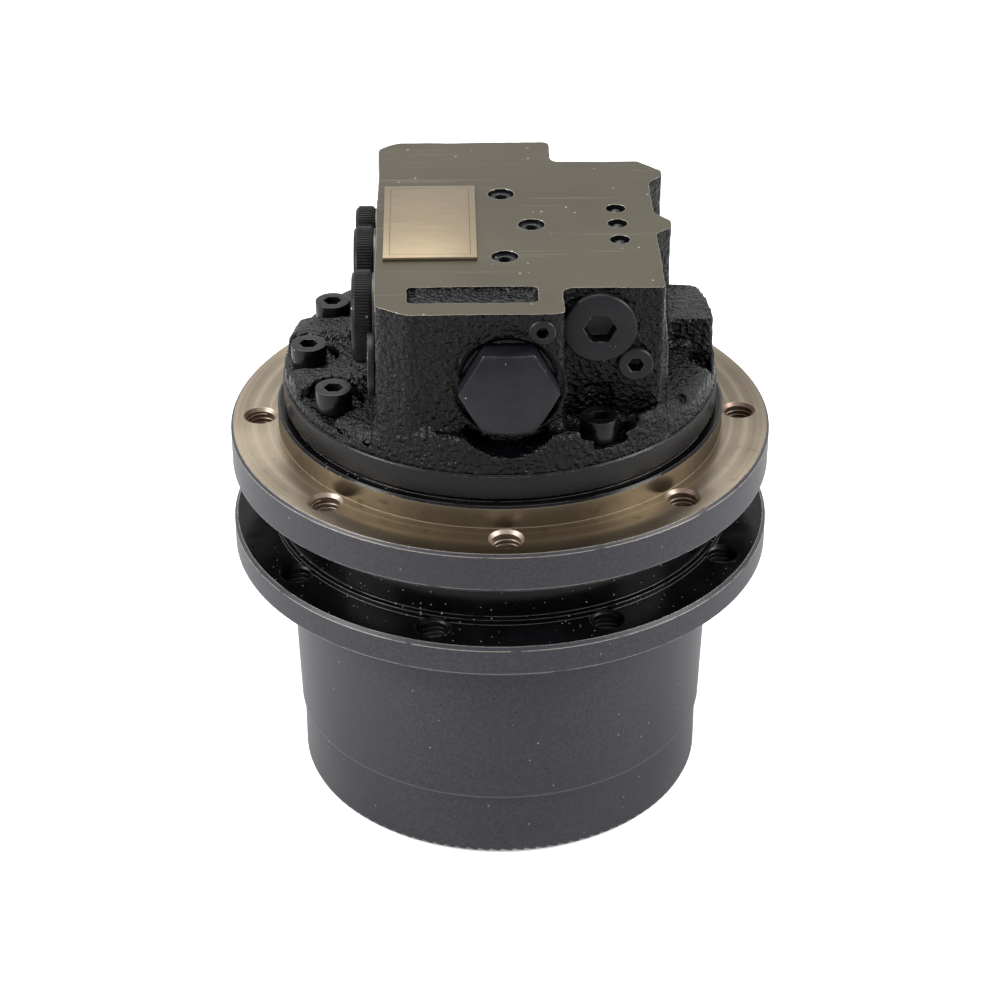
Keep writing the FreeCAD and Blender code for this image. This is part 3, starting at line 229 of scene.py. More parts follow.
# ------------------------------------------------------------------ sprocket housing
# One iron casting, turned outside: the drum round the gears, the flange that carries the chain
# sprocket, and the hub under the frame.  It is sprayed black, and its ring gear is cut inside.
HUB_TALL, SPROCKET_THICK = 20 * MM, 12 * MM
DRUM_STEP, WORN_FROM = 27 * MM, 90 * MM
SPROCKET_BOLTS, SPROCKET_PCD, SPROCKET_TURN = 9, 180 * MM, math.radians(13.5)
TAPPED_R, THREAD_PITCH, THREAD_CREST, THREAD_END = 5.1 * MM, 1.75 * MM, 0.42 * MM, 1 * MM
NEAR = 0.1 * MM
housing_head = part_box("sprocket_housing")[1].z
sprocket_top = housing_head - HUB_TALL
sprocket_low = sprocket_top - SPROCKET_THICK


def welded(node):
    """A copy of a CAD node's mesh with its loose triangles joined."""
    work = bmesh.new()
    work.from_mesh(nodes[node].data)
    bmesh.ops.remove_doubles(work, verts=work.verts, dist=0.002 * MM)
    return work


def piece(name, source, body, stands_for, finishes, crease=30.0):
    """A finished object from mesh data, riding on its body in the place of CAD nodes."""
    if isinstance(source, bmesh.types.BMesh):
        mesh = bpy.data.meshes.new(name)
        source.to_mesh(mesh)
        source.free()
    else:
        mesh = source
    mesh.name = name
    for index, finish in enumerate(finishes):
        if index < len(mesh.materials):
            mesh.materials[index] = finish
        else:
            mesh.materials.append(finish)
    if "custom_normal" in mesh.attributes:
        mesh.attributes.remove(mesh.attributes["custom_normal"])
    mesh.shade_smooth()
    mesh.set_sharp_from_angle(angle=math.radians(crease))
    made = bpy.data.objects.new(name, mesh)
    scene.collection.objects.link(made)
    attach(made, body)
    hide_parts(*stands_for)
    return made


def shaped(mesh, *modifiers):
    """The mesh after a stack of modifiers, each given as its type and settings."""
    holder = bpy.data.objects.new("blank", mesh)
    scene.collection.objects.link(holder)
    for kind, settings in modifiers:
        added = holder.modifiers.new(kind, kind)
        for name, value in settings.items():
            setattr(added, name, value)
    finished = bpy.data.meshes.new_from_object(holder.evaluated_get(bpy.context.evaluated_depsgraph_get()))
    bpy.data.objects.remove(holder)
    return finished


def grown(tree, values):
    """The plain mesh that a geometry node tree makes from these named values."""
    holder = bpy.data.objects.new("blank", bpy.data.meshes.new("blank"))
    scene.collection.objects.link(holder)
    growth = holder.modifiers.new("growth", "NODES")
    growth.node_group = tree
    for item in tree.interface.items_tree:
        if item.name in values:
            growth[item.identifier] = values[item.name]
    finished = bpy.data.meshes.new_from_object(holder.evaluated_get(bpy.context.evaluated_depsgraph_get()))
    bpy.data.objects.remove(holder)
    return finished


def ring_tree(name, numbers, draw):
    """A tree that sets copies of what draw makes round the Z axis; numbers are its named inputs."""
    tree = bpy.data.node_groups.new(name, "GeometryNodeTree")
    graph = Graph(tree)
    for label, kind in (*numbers, ("Count", "NodeSocketInt"), ("Ring", "NodeSocketFloat"),
                        ("Turn", "NodeSocketFloat"), ("Finish", "NodeSocketMaterial")):
        tree.interface.new_socket(name=label, in_out="INPUT", socket_type=kind)
    tree.interface.new_socket(name="Geometry", in_out="OUTPUT", socket_type="NodeSocketGeometry")
    given = {item.name: graph.node("NodeGroupInput", {}, {}, item.name)
             for item in tree.interface.items_tree if item.in_out == "INPUT"}
    ring = graph.node("GeometryNodeMeshCircle", {}, {"Vertices": given["Count"], "Radius": given["Ring"]})
    where = graph.node("GeometryNodeInputPosition", {}, {})
    facing = graph.node("FunctionNodeAlignRotationToVector", {"axis": "X"}, {"Vector": where})
    copies = graph.node("GeometryNodeInstanceOnPoints", {}, {
        "Points": ring, "Instance": draw(graph, given), "Rotation": facing})
    solid = graph.node("GeometryNodeRealizeInstances", {}, {"Geometry": copies})
    turn = graph.node("ShaderNodeCombineXYZ", {}, {"Z": given["Turn"]})
    turned = graph.node("GeometryNodeTransform", {}, {"Geometry": solid, "Rotation": turn})
    dressed = graph.node("GeometryNodeSetMaterial", {}, {"Geometry": turned, "Material": given["Finish"]})
    graph.node("NodeGroupOutput", {}, {"Geometry": dressed})
    return tree


def draw_thread(graph, given):
    """The crests of one hole's thread, as a four-sided wire wound into a spiral."""
    line = graph.node("GeometryNodeCurveSpiral", {}, {
        "Resolution": 26, "Rotations": given["Turns"], "Start Radius": given["Hole"],
        "End Radius": given["Hole"], "Height": given["Deep"]})
    wire = graph.node("GeometryNodeCurvePrimitiveCircle", {}, {"Resolution": 4, "Radius": given["Crest"]})
    return graph.node("GeometryNodeCurveToMesh", {}, {"Curve": line, "Profile Curve": wire})


thread_tree = ring_tree("tapped_holes", (
    ("Turns", "NodeSocketFloat"), ("Hole", "NodeSocketFloat"), ("Deep", "NodeSocketFloat"),
    ("Crest", "NodeSocketFloat")), draw_thread)


def tapped(name, body, finish, low, high, pcd, count, turn):
    """The threads of a flange's bolt circle, between two levels."""
    deep = high - low
    mesh = grown(thread_tree, {
        "Turns": deep / THREAD_PITCH, "Hole": TAPPED_R, "Deep": deep, "Crest": THREAD_CREST,
        "Count": count, "Ring": pcd / 2, "Turn": turn, "Finish": finish})
    mesh.transform(Matrix.Translation((0, 0, low)))
    made = bpy.data.objects.new(name, mesh)
    scene.collection.objects.link(made)
    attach(made, body)


def satin_paint():
    """Thin satin black over turned iron: fine mottled grain, pits, pale specks, a painted highlight line
    along the step, edges worn bright.
    """
    finish = Finish(bpy.data.materials.new("satin_black_paint"))
    mottle = finish.grain(800.0, 5.0)
    wide = finish.between(finish.grain(28.0, 3.0), 0.3, 0.75)
    base = finish.mix(finish.between(mottle, 0.32, 0.7), (0.024, 0.0235, 0.031, 1), (0.038, 0.037, 0.047, 1))
    base = finish.mix(wide * 0.4, base, (0.029, 0.027, 0.031, 1))
    # painted highlight: a lighter copy of the paint along the drum's step, standing in for light caught by
    # its edge
    from_step = finish.math("ABSOLUTE", finish.axis("Z") - DRUM_STEP)
    line = 1.0 - finish.between(from_step, 0.1 * MM, 0.9 * MM)
    base = finish.mix(line * 0.6, base, (0.095, 0.093, 0.108, 1))
    base = finish.mix(finish.specks(330.0, 0.10, 0.1), base, (0.26, 0.25, 0.26, 1))
    base = finish.mix(finish.specks(260.0, 0.07, 0.12), base, (0.008, 0.008, 0.010, 1))
    worn = finish.rim(0.6 * MM) * finish.between(finish.grain(160.0, 4.0), 0.30, 0.46)
    worn = worn * (finish.axis("Z") > WORN_FROM)
    base = finish.mix(worn, base, (0.66, 0.60, 0.50, 1))
    height = mottle * 0.6 + finish.grain(1900.0, 2.0) * 0.4
    peel = finish.relief(height, 0.05 * MM, finish.eased_edges(0.5 * MM))
    return finish.skin({"Base Color": base, "Roughness": 0.34 + mottle * 0.14, "Metallic": worn * 0.8,
                        "Specular IOR Level": 0.26, "Normal": peel})


def gloss_paint():
    """Thicker gloss black, with white dust on it."""
    finish = Finish(bpy.data.materials.new("gloss_black_paint"))
    patchy = finish.between(finish.grain(34.0, 3.0), 0.42, 0.62)
    dust = finish.specks(800.0, 0.13, 0.22) * patchy
    haze = finish.between(finish.grain(60.0, 6.0), 0.45, 0.8)
    base = finish.mix(haze * 0.5, (0.0025, 0.0025, 0.003, 1), (0.009, 0.009, 0.011, 1))
    base = finish.mix(dust * 0.7, base, (0.42, 0.42, 0.40, 1))
    worn = finish.rim(0.5 * MM) * finish.between(finish.grain(140.0, 4.0), 0.34, 0.5)
    worn = worn * (0.16 + finish.between(finish.from_axis(), 95 * MM, 98 * MM) * 0.84)
    base = finish.mix(worn, base, (0.66, 0.60, 0.50, 1))
    peel = finish.relief(finish.grain(260.0, 2.0), 0.03 * MM, finish.eased_edges(0.5 * MM))
    return finish.skin({"Base Color": base, "Roughness": 0.16 + haze * 0.12 + dust * 0.4,
                        "Metallic": worn * 0.8, "Specular IOR Level": 0.14, "Normal": peel})


def bare_steel(name, dark, pale, rough=0.32):
    """Cut and turned steel with a film of oil: fine marks, faint stains."""
    finish = Finish(bpy.data.materials.new(name))
    stain = finish.between(finish.grain(45.0, 4.0), 0.35, 0.7)
    fine = finish.grain(1700.0, 2.0)
    base = finish.mix(stain * 0.7 + fine * 0.3, dark, pale)
    normal = finish.relief(fine, 0.012 * MM, finish.eased_edges(0.35 * MM))
    return finish.skin({"Base Color": base, "Roughness": rough + fine * 0.14, "Metallic": 1.0,
                        "Normal": normal})


satin_black, gloss_black = satin_paint(), gloss_paint()
gear_steel = bare_steel("cut_gear_steel", (0.20, 0.195, 0.19, 1), (0.34, 0.33, 0.31, 1))
thread_steel = bare_steel("thread_steel", (0.16, 0.11, 0.085, 1), (0.40, 0.34, 0.28, 1), 0.36)
thread_black = bare_steel("painted_thread", (0.010, 0.010, 0.011, 1), (0.030, 0.029, 0.029, 1), 0.3)

drum = welded("sprocket_housing")
INSIDE_R, FLANGE_EDGE_R, HOLES_FROM, HOLES_TO, WALL_TILT = 76.6 * MM, 99.6 * MM, 81 * MM, 99 * MM, 0.8
for face in drum.faces:
    middle = face.calc_center_median()
    reach = math.hypot(middle.x, middle.y)
    outside = reach > INSIDE_R or face.normal.z < -0.9 and middle.z < 1 * MM
    glossy = middle.z > sprocket_top - NEAR and reach < FLANGE_EDGE_R
    in_flange = sprocket_low < middle.z < sprocket_top and HOLES_FROM < reach < HOLES_TO
    in_hole = in_flange and abs(face.normal.z) < WALL_TILT
    face.material_index = 3 if in_hole else 2 if not outside else 1 if glossy else 0
piece("housing_finished", drum, "housing", ["sprocket_housing"],
      [satin_black, gloss_black, gear_steel, thread_black])
tapped("sprocket_threads", "housing", thread_black,
       sprocket_low + THREAD_END, sprocket_top - 2 * THREAD_END, SPROCKET_PCD, SPROCKET_BOLTS, SPROCKET_TURN)

# ------------------------------------------------------------------ spindle and frame flange
# One steel forging that the machine's frame is bolted to.  Its face and the pilot collar are turned
# bare, the rim and the underside are painted, and the bolt holes are tapped through.
FRAME_BOLTS, FRAME_PCD, FRAME_THICK, PILOT_TALL, PILOT_R = 8, 178 * MM, 16 * MM, 8.5 * MM, 82.3 * MM
JOINT_TALL, SPRAY_DOWN = 1.5 * MM, 0.9 * MM
joint_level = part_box("spindle")[1].z
frame_top = joint_level - JOINT_TALL - PILOT_TALL
frame_low = frame_top - FRAME_THICK


def turned_face():
    """Bare face-turned steel: ring marks, warm oil film, rust specks and dots of red marking paint."""
    finish = Finish(bpy.data.materials.new("turned_flange_face"))
    reach = finish.from_axis()
    marks, wide = [finish.node("ShaderNodeTexNoise", {"noise_dimensions": "1D"}, {
        "W": reach, "Scale": scale, "Detail": detail}) for scale, detail in ((2600.0, 3.0), (300.0, 2.0))]
    film = finish.between(finish.grain(22.0, 4.0), 0.35, 0.68)
    base = finish.mix(film, (0.135, 0.112, 0.082, 1), (0.215, 0.180, 0.132, 1))
    base = finish.mix(finish.between(wide, 0.4, 0.7) * 0.4, base, (0.29, 0.246, 0.185, 1))
    stain = finish.between(finish.grain(190.0, 5.0), 0.60, 0.72)
    base = finish.mix(stain * 0.25, base, (0.07, 0.05, 0.035, 1))
    rust = finish.specks(420.0, 0.05, 0.13)
    base = finish.mix(rust, base, (0.09, 0.03, 0.012, 1))
    red = finish.specks(160.0, 0.05, 0.1) * (reach > 93 * MM) * (finish.axis("X") > 35 * MM)
    base = finish.mix(red, base, (0.42, 0.02, 0.02, 1))
    cut = finish.relief(marks, 0.02 * MM, finish.eased_edges(0.4 * MM))
    bare = 1.0 - finish.math("MAXIMUM", rust, red)
    return finish.skin({"Base Color": base, "Roughness": 0.28 + marks * 0.16 + rust * 0.3 + stain * 0.1,
                        "Metallic": bare, "Anisotropic": 0.75, "Normal": cut})


turned_steel = turned_face()
spindle = welded("spindle")
CAVITY_R, BOLTS_FROM, BOLTS_TO, NECK_PAINT = 57 * MM, 83 * MM, 95 * MM, 4 * MM
for face in spindle.faces:
    middle = face.calc_center_median()
    reach = math.hypot(middle.x, middle.y)
    sprayed = middle.z > joint_level - JOINT_TALL - SPRAY_DOWN and CAVITY_R < reach < PILOT_R - NEAR
    bare = middle.z > frame_top - 0.05 * MM and reach > CAVITY_R and not sprayed
    in_flange = frame_low < middle.z < frame_top and BOLTS_FROM < reach < BOLTS_TO
    in_hole = in_flange and abs(face.normal.z) < WALL_TILT
    painted = frame_low - NECK_PAINT < middle.z < frame_top and reach > CAVITY_R
    face.material_index = 4 if sprayed else 2 if in_hole else 0 if bare else 1 if painted else 3
piece("spindle_finished", spindle, "frame_side", ["spindle"],
      [turned_steel, satin_black, thread_steel, gear_steel, gloss_black])
tapped("frame_threads", "frame_side", thread_steel,
       frame_low + THREAD_END, frame_top - 2.2 * THREAD_END, FRAME_PCD, FRAME_BOLTS, 0.0)

# ------------------------------------------------------------------ motor cover and valve block
# One rough iron casting, sprayed semi-gloss black, that closes the motor.  Its joint band is turned,
# its top is milled flat with edges rubbed by handling and a painted warm reflection in its colour, and the
# pocket of the big plug is bored.
BLOCK_TALL, BAND_TALL, BAND_R, CAST_TALL = 67.6 * MM, 9 * MM, 79.8 * MM, 20 * MM
SPOOL_X, SPOOL_RISE, POCKET_R, PLUG_SEAT_Y, BLOCK_HALF = 1.2 * MM, 39.9 * MM, 18.9 * MM, 66.1 * MM, 72 * MM
block_top = joint_level + BLOCK_TALL
spool_level = joint_level + SPOOL_RISE
shoulder = joint_level + CAST_TALL


def cast_paint():
    """Semi-gloss black sprayed over a sand casting: orange peel, lumps, and pale warm edges that are partly
    rubbed wear and partly painted highlight.
    """
    finish = Finish(bpy.data.materials.new("cast_black_paint"))
    lumps = finish.grain(520.0, 3.0)
    peel = finish.grain(1250.0, 2.0)
    sand = finish.node("ShaderNodeTexVoronoi", {"feature": "SMOOTH_F1"}, {
        "Vector": finish.place(), "Scale": 620.0}, "Distance")
    height = lumps * 0.5 + sand * 0.35 + peel * 0.15
    normal = finish.relief(height, 2.2 * MM, finish.eased_edges(0.6 * MM))
    # pale warm edges: partly rubbed wear, partly a painted highlight where rounded edges catch the light
    worn = finish.rim(0.8 * MM, 0.05, 0.4) * finish.between(finish.grain(240.0, 5.0), 0.5, 0.62)
    dusty = finish.between(finish.grain(70.0, 5.0), 0.5, 0.8)
    base = finish.mix(dusty * 0.5, (0.0014, 0.0015, 0.0022, 1), (0.0050, 0.0052, 0.0070, 1))
    base = finish.mix(worn * 0.6, base, (0.22, 0.20, 0.17, 1))
    return finish.skin({"Base Color": base, "Roughness": 0.16 + finish.between(peel, 0.3, 0.7) * 0.14,
                        "Specular IOR Level": 0.2, "Normal": normal})


def milled_top_wear_and_reflection():
    """Milled and handled: black paint with its warm olive reflection painted into a metallic base colour,
    faint lines, small scratches and rubbed edges.
    """
    finish = Finish(bpy.data.materials.new("milled_top_wear_and_painted_reflection"))
    lines = finish.grain(60.0, 4.0, (1.0, 26.0, 1.0))
    cloud = finish.between(finish.grain(24.0, 3.0), 0.3, 0.72)
    scratch = finish.between(finish.grain(16.0, 3.0, (1.0, 70.0, 1.0)), 0.66, 0.70)
    # painted reflection: the warm olive of these two tones is the surroundings reflected in black paint, put
    # into the base colour
    base = finish.mix(cloud * 0.6 + lines * 0.4, (0.052, 0.045, 0.029, 1), (0.080, 0.070, 0.046, 1))
    base = finish.mix(scratch * 0.35, base, (0.26, 0.24, 0.19, 1))
    base = finish.mix(finish.specks(330.0, 0.08, 0.16), base, (0.30, 0.28, 0.24, 1))
    worn = finish.rim(0.45 * MM, 0.02, 0.2)
    base = finish.mix(worn * 0.8, base, (0.66, 0.60, 0.48, 1))
    height = lines * 0.6 + finish.grain(1400.0, 2.0) * 0.4
    normal = finish.relief(height, 0.02 * MM, finish.eased_edges(0.4 * MM))
    return finish.skin({"Base Color": base, "Roughness": 0.3 + lines * 0.14, "Metallic": 0.85,
                        "Normal": normal})


def bored_face():
    """Bored or spot-faced and sprayed: smooth black with faint tool rings."""
    finish = Finish(bpy.data.materials.new("bored_black_face"))
    fine = finish.grain(900.0, 3.0)
    worn = finish.rim(0.4 * MM, 0.03, 0.3) * finish.between(finish.grain(200.0, 3.0), 0.35, 0.55)
    base = finish.mix(worn, (0.0035, 0.0035, 0.0045, 1), (0.45, 0.43, 0.38, 1))
    normal = finish.relief(fine, 0.03 * MM, finish.eased_edges(0.35 * MM))
    return finish.skin({"Base Color": base, "Roughness": 0.2 + fine * 0.12, "Metallic": worn * 0.7,
                        "Specular IOR Level": 0.2, "Normal": normal})


def shells(node):
    """The boxes of a CAD node's separate solids, as lowest and highest corners."""
    work, boxes, visited = welded(node), [], set()
    for start in work.verts:
        if start in visited:
            continue
        shell, waiting = [], [start]
        while waiting:
            vert = waiting.pop()
            if vert in visited:
                continue
            visited.add(vert)
            shell.append(vert.co.copy())
            waiting += [edge.other_vert(vert) for edge in vert.link_edges]
        boxes.append((Vector([min(point[i] for point in shell) for i in range(3)]),
                      Vector([max(point[i] for point in shell) for i in range(3)])))
    work.free()
    return boxes


def round_bar(radius, length, at, toward_axis, sides=64):
    """A closed cylinder standing on a point."""
    bar = bmesh.new()
    bmesh.ops.create_cone(bar, cap_ends=True, segments=sides, radius1=radius, radius2=radius, depth=length)
    turn = Vector(toward_axis).to_track_quat("Z", "Y").to_matrix().to_4x4()
    bar.transform(Matrix.Translation(at) @ turn @ Matrix.Translation((0, 0, length / 2)))
    return bar


def slab(low, high):
    """A closed block between two corners."""
    block = bmesh.new()
    bmesh.ops.create_cube(block, size=1.0)
    middle = (Vector(low) + Vector(high)) / 2
    block.transform(Matrix.Translation(middle) @ Matrix.Diagonal((*(Vector(high) - Vector(low)), 1.0)))
    return block


def poured(work, *fillings):
    """One mesh out of a body and the solids that fill its machined hollows."""
    mesh = bpy.data.meshes.new("poured")
    for filling in fillings:
        part = bpy.data.meshes.new("part")
        filling.to_mesh(part)
        filling.free()
        work.from_mesh(part)
        bpy.data.meshes.remove(part)
    work.to_mesh(mesh)
    work.free()
    return mesh


def machined(mesh, tools):
    """The mesh with these solids cut out of it, one after another."""
    for tool in tools:
        cutter_mesh = bpy.data.meshes.new("cutter")
        tool.to_mesh(cutter_mesh)
        tool.free()
        cutter = bpy.data.objects.new("cutter", cutter_mesh)
        scene.collection.objects.link(cutter)
        mesh = shaped(mesh, ("BOOLEAN", {"object": cutter, "operation": "DIFFERENCE", "solver": "MANIFOLD"}))
        bpy.data.objects.remove(cutter)
    return mesh


TOP_STOCK = 2 * MM
VOXEL = 1.0 * MM
blank = welded("motor_cover")
for vert in blank.verts:
    if vert.co.z > block_top - 0.02 * MM:
        vert.co.z += TOP_STOCK
top_bores = []
for group, bore_deep in (("top_plugs", 6.5 * MM), ("ball_plugs", 5.5 * MM)):
    for low, high in shells(group):
        centre = (low + high) / 2
        top_bores.append((Vector((centre.x, centre.y, block_top)), (high.x - low.x) / 2, bore_deep))
front_seat = Vector((SPOOL_X, -PLUG_SEAT_Y, spool_level))
back_seat = Vector((SPOOL_X, PLUG_SEAT_Y, spool_level))
pocket_deep = BLOCK_HALF - PLUG_SEAT_Y
FILL_MORE, BORE_FILL_MORE = 1.5 * MM, 2.5 * MM
stock = poured(
    blank,
    round_bar(POCKET_R + FILL_MORE, pocket_deep, front_seat, (0, -1, 0)),
    round_bar(POCKET_R + FILL_MORE, pocket_deep, back_seat, (0, 1, 0)),
    *[round_bar(radius + BORE_FILL_MORE, bore_deep + TOP_STOCK, at - Vector((0, 0, bore_deep)), (0, 0, 1), 24)
      for at, radius, bore_deep in top_bores])
cast = shaped(stock, ("REMESH", {"mode": "VOXEL", "voxel_size": VOXEL}),
              ("SMOOTH", {"factor": 0.5, "iterations": 2}))
CAST_FOOT = joint_level + BAND_TALL + 0.6 * MM
LUMP, LUMP_SIZE, SWELL, SWELL_SIZE = 0.22 * MM, 3.4 * MM, 0.5 * MM, 17 * MM
FOOT_FROM_R, FOOT_IN, SKIN_IN, LIFT_OVER = 60 * MM, 0.7 * MM, 0.3 * MM, 3 * MM
RIBS = ((-26.6 * MM, -18.3 * MM), (10 * MM, 21.8 * MM))
RIB_RIGHT, RIB_TALL, RIB_SLOPE = -46 * MM, 3 * MM, 3.5 * MM
outward = [vert.normal.copy() for vert in cast.vertices]
for vert, normal in zip(cast.vertices, outward):
    reach = math.hypot(vert.co.x, vert.co.y)
    if vert.co.z < CAST_FOOT:
        if reach > FOOT_FROM_R:
            vert.co = vert.co - Vector((vert.co.x, vert.co.y, 0)) / reach * FOOT_IN
        continue
    push = noise.noise(vert.co / LUMP_SIZE) * LUMP + noise.noise(vert.co / SWELL_SIZE) * SWELL - SKIN_IN
    lift = min(1.0, (vert.co.z - CAST_FOOT) / LIFT_OVER)
    vert.co = vert.co + normal * push * lift
    if vert.co.x < RIB_RIGHT and vert.co.z > shoulder - 2 * RIB_TALL:
        from_rib = min(max(low - vert.co.y, vert.co.y - high, 0.0) for low, high in RIBS)
        vert.co.z -= RIB_TALL * min(1.0, from_rib / RIB_SLOPE)
# each cutter runs well clear of the casting
ASIDE, ABOVE, BEYOND, BORE_BEYOND = 100 * MM, 20 * MM, 40 * MM, 3 * MM
tools = [slab((-ASIDE, -ASIDE, block_top), (ASIDE, ASIDE, block_top + ABOVE)),
         round_bar(POCKET_R, BEYOND, front_seat, (0, -1, 0), 96),
         round_bar(POCKET_R, BEYOND, back_seat, (0, 1, 0), 96)]
for at, radius, bore_deep in top_bores:
    tools.append(round_bar(radius, bore_deep + BORE_BEYOND, at - Vector((0, 0, bore_deep)), (0, 0, 1), 40))
casting = machined(cast, tools)
LEVEL = 0.02 * MM
for face in casting.polygons:
    middle = face.center
    level = face.normal.z > 0.999 and abs(middle.z - block_top) < LEVEL
    from_spool = math.hypot(middle.x - SPOOL_X, middle.z - spool_level)
    in_pocket = from_spool < POCKET_R + 0.03 * MM and abs(middle.y) > PLUG_SEAT_Y - NEAR
    in_bore = any(math.hypot(middle.x - at.x, middle.y - at.y) < radius + LEVEL
                  and middle.z > at.z - deep - LEVEL for at, radius, deep in top_bores)
    face.material_index = 2 if in_pocket or in_bore else 1 if level else 0
cast_black, milled, bored = cast_paint(), milled_top_wear_and_reflection(), bored_face()
piece("cover_casting", casting, "frame_side", ["motor_cover"],
      [cast_black, milled, bored], 40.0)

# the turned joint band, a crisp ring let into the casting's foot
band_mesh = bmesh.new()
EASE = 0.5 * MM
BAND_DEEP = 4 * MM
profile = [(BAND_R - BAND_DEEP, joint_level), (BAND_R - EASE, joint_level), (BAND_R, joint_level + EASE),
           (BAND_R, joint_level + BAND_TALL), (BAND_R - EASE, joint_level + BAND_TALL + EASE),
           (BAND_R - BAND_DEEP, joint_level + BAND_TALL + EASE)]
ring_line = [band_mesh.verts.new((radius, 0, level)) for radius, level in profile]
edges = [band_mesh.edges.new((one, two)) for one, two in zip(ring_line, ring_line[1:] + ring_line[:1])]
bmesh.ops.spin(band_mesh, geom=ring_line + edges, axis=(0, 0, 1), cent=(0, 0, 0), angle=math.tau, steps=192)
bmesh.ops.remove_doubles(band_mesh, verts=band_mesh.verts, dist=0.001 * MM)
bmesh.ops.recalc_face_normals(band_mesh, faces=band_mesh.faces)
piece("cover_band", band_mesh, "frame_side", ["motor_cover"], [bored])

# ------------------------------------------------------------------ cap screws of the cover
# Black socket cap screws in open pockets round the shoulder: each head has a satin top, rounded
# edges and a deep hexagon socket.
def dark_steel(name, dark, pale, rough, turned=False):
    """Blackened steel: satin, with edges that handling has rubbed bright."""
    finish = Finish(bpy.data.materials.new(name))
    fine = finish.grain(1300.0, 3.0)
    cloud = finish.between(finish.grain(120.0, 3.0), 0.35, 0.7)
    base = finish.mix(cloud, dark, pale)
    worn = finish.rim(0.35 * MM, 0.015, 0.14) * finish.between(finish.grain(420.0, 3.0), 0.38, 0.56)
    base = finish.mix(worn * 0.75, base, (0.40, 0.39, 0.37, 1))
    base = finish.mix(finish.specks(520.0, 0.05, 0.16), base, (0.30, 0.30, 0.30, 1))
    normal = finish.relief(fine, 0.02 * MM, finish.eased_edges(0.3 * MM))
    return finish.skin({"Base Color": base, "Roughness": rough + fine * 0.12, "Metallic": worn * 0.8,
                        "Specular IOR Level": 0.24, "Anisotropic": 0.5 if turned else 0.0, "Normal": normal})


def eased(node, width, segments=2):
    """A CAD node's mesh with its sharp edges rounded off by width."""
    work = welded(node)
    bmesh.ops.dissolve_limit(work, angle_limit=math.radians(0.6), verts=work.verts, edges=work.edges)
    rough = bpy.data.meshes.new("rough")
    work.to_mesh(rough)
    work.free()
    if "custom_normal" in rough.attributes:
        rough.attributes.remove(rough.attributes["custom_normal"])
    return shaped(rough, ("BEVEL", {"width": width, "segments": segments, "limit_method": "ANGLE",
                                    "angle_limit": math.radians(38), "use_clamp_overlap": True}),
                  ("TRIANGULATE", {}))


screw_black = dark_steel("blackened_screw", (0.003, 0.003, 0.0038, 1), (0.008, 0.008, 0.010, 1), 0.22)
screws = eased("cover_screws", 0.55 * MM, 3)
piece("screws_finished", screws, "frame_side", ["cover_screws"], [screw_black])

# ------------------------------------------------------------------ hexagon plugs of the spool
# Two big hexagon plugs close the counterbalance spool's bore.  They are turned and blackened, with a
# chamfer that leaves a round rim on the face, and the wrench corners rubbed bright.
plug_black = dark_steel("blackened_hexagon", (0.006, 0.0058, 0.009, 1), (0.011, 0.0105, 0.015, 1), 0.30, True)
piece("spool_plugs_finished", eased("spool_plugs", 0.45 * MM), "frame_side", ["spool_plugs"],
      [plug_black])

# ------------------------------------------------------------------ face plugs
# A large flat plug with a hexagon socket and two small ones close drilled passages in the block's
# right front.  Each sits in its spot face, ringed by a dark gap.
face_black = dark_steel("blackened_face_plug", (0.004, 0.0042, 0.006, 1), (0.008, 0.0083, 0.011, 1), 0.34)
piece("face_plugs_finished", eased("face_plugs", 0.4 * MM), "frame_side", ["face_plugs"],
      [face_black])

# ------------------------------------------------------------------ knurled port caps
# Black nylon shipping plugs close the three ports on the left.  Each has a fine straight knurl round
# its rim and a pale washer between it and the casting.
KNURL_STEP, KNURL_HIGH = 1.1 * MM, 0.45 * MM
nylon = Finish(bpy.data.materials.new("black_nylon_cap"))
cap_mottle = nylon.grain(700.0, 3.0)
cap_share = nylon.between(cap_mottle, 0.3, 0.75)
cap_base = nylon.mix(cap_share, (0.003, 0.003, 0.0035, 1), (0.009, 0.009, 0.010, 1))
cap_base = nylon.mix(nylon.specks(380.0, 0.06, 0.18), cap_base, (0.32, 0.32, 0.32, 1))
cap_normal = nylon.relief(cap_mottle, 0.03 * MM, nylon.eased_edges(0.4 * MM))
cap_black = nylon.skin({"Base Color": cap_base, "Roughness": 0.3 + cap_mottle * 0.2,
                        "Specular IOR Level": 0.2, "Normal": cap_normal})


def draw_rib(graph, given):
    """One rib of a knurl: a slim four-sided bar along the ring's axis."""
    return graph.node("GeometryNodeMeshCylinder", {}, {
        "Vertices": 4, "Side Segments": 1, "Radius": given["Rib"], "Depth": given["Long"]})


knurl_tree = ring_tree("knurl_ribs", (("Rib", "NodeSocketFloat"), ("Long", "NodeSocketFloat")), draw_rib)


piece("port_plugs_finished", eased("port_plugs", 0.35 * MM), "frame_side", ["port_plugs"],
      [cap_black])
CAP_THICK, CAP_CROWN = 7.2 * MM, 1 * MM
RIB_SHORT, RIB_OFF, RIB_SUNK = 0.8 * MM, 0.2 * MM, 0.06 * MM
for number, (low, high) in enumerate(shells("port_plugs"), 1):
    radius = (high.z - low.z) / 2
    long = CAP_THICK - CAP_CROWN - RIB_SHORT
    count = round(math.tau * radius / KNURL_STEP)
    ribs = grown(knurl_tree, {"Rib": KNURL_HIGH, "Long": long, "Count": count, "Ring": radius - RIB_SUNK,
                              "Turn": 0.0, "Finish": cap_black})
    middle = (low + high) / 2
    along = low.x + CAP_CROWN + long / 2 + RIB_OFF
    ribs.transform(Matrix.Translation((along, middle.y, middle.z)) @ Matrix.Rotation(math.pi / 2, 4, "Y"))
    made = bpy.data.objects.new("cap_knurl_%d" % number, ribs)
    scene.collection.objects.link(made)
    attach(made, "frame_side")

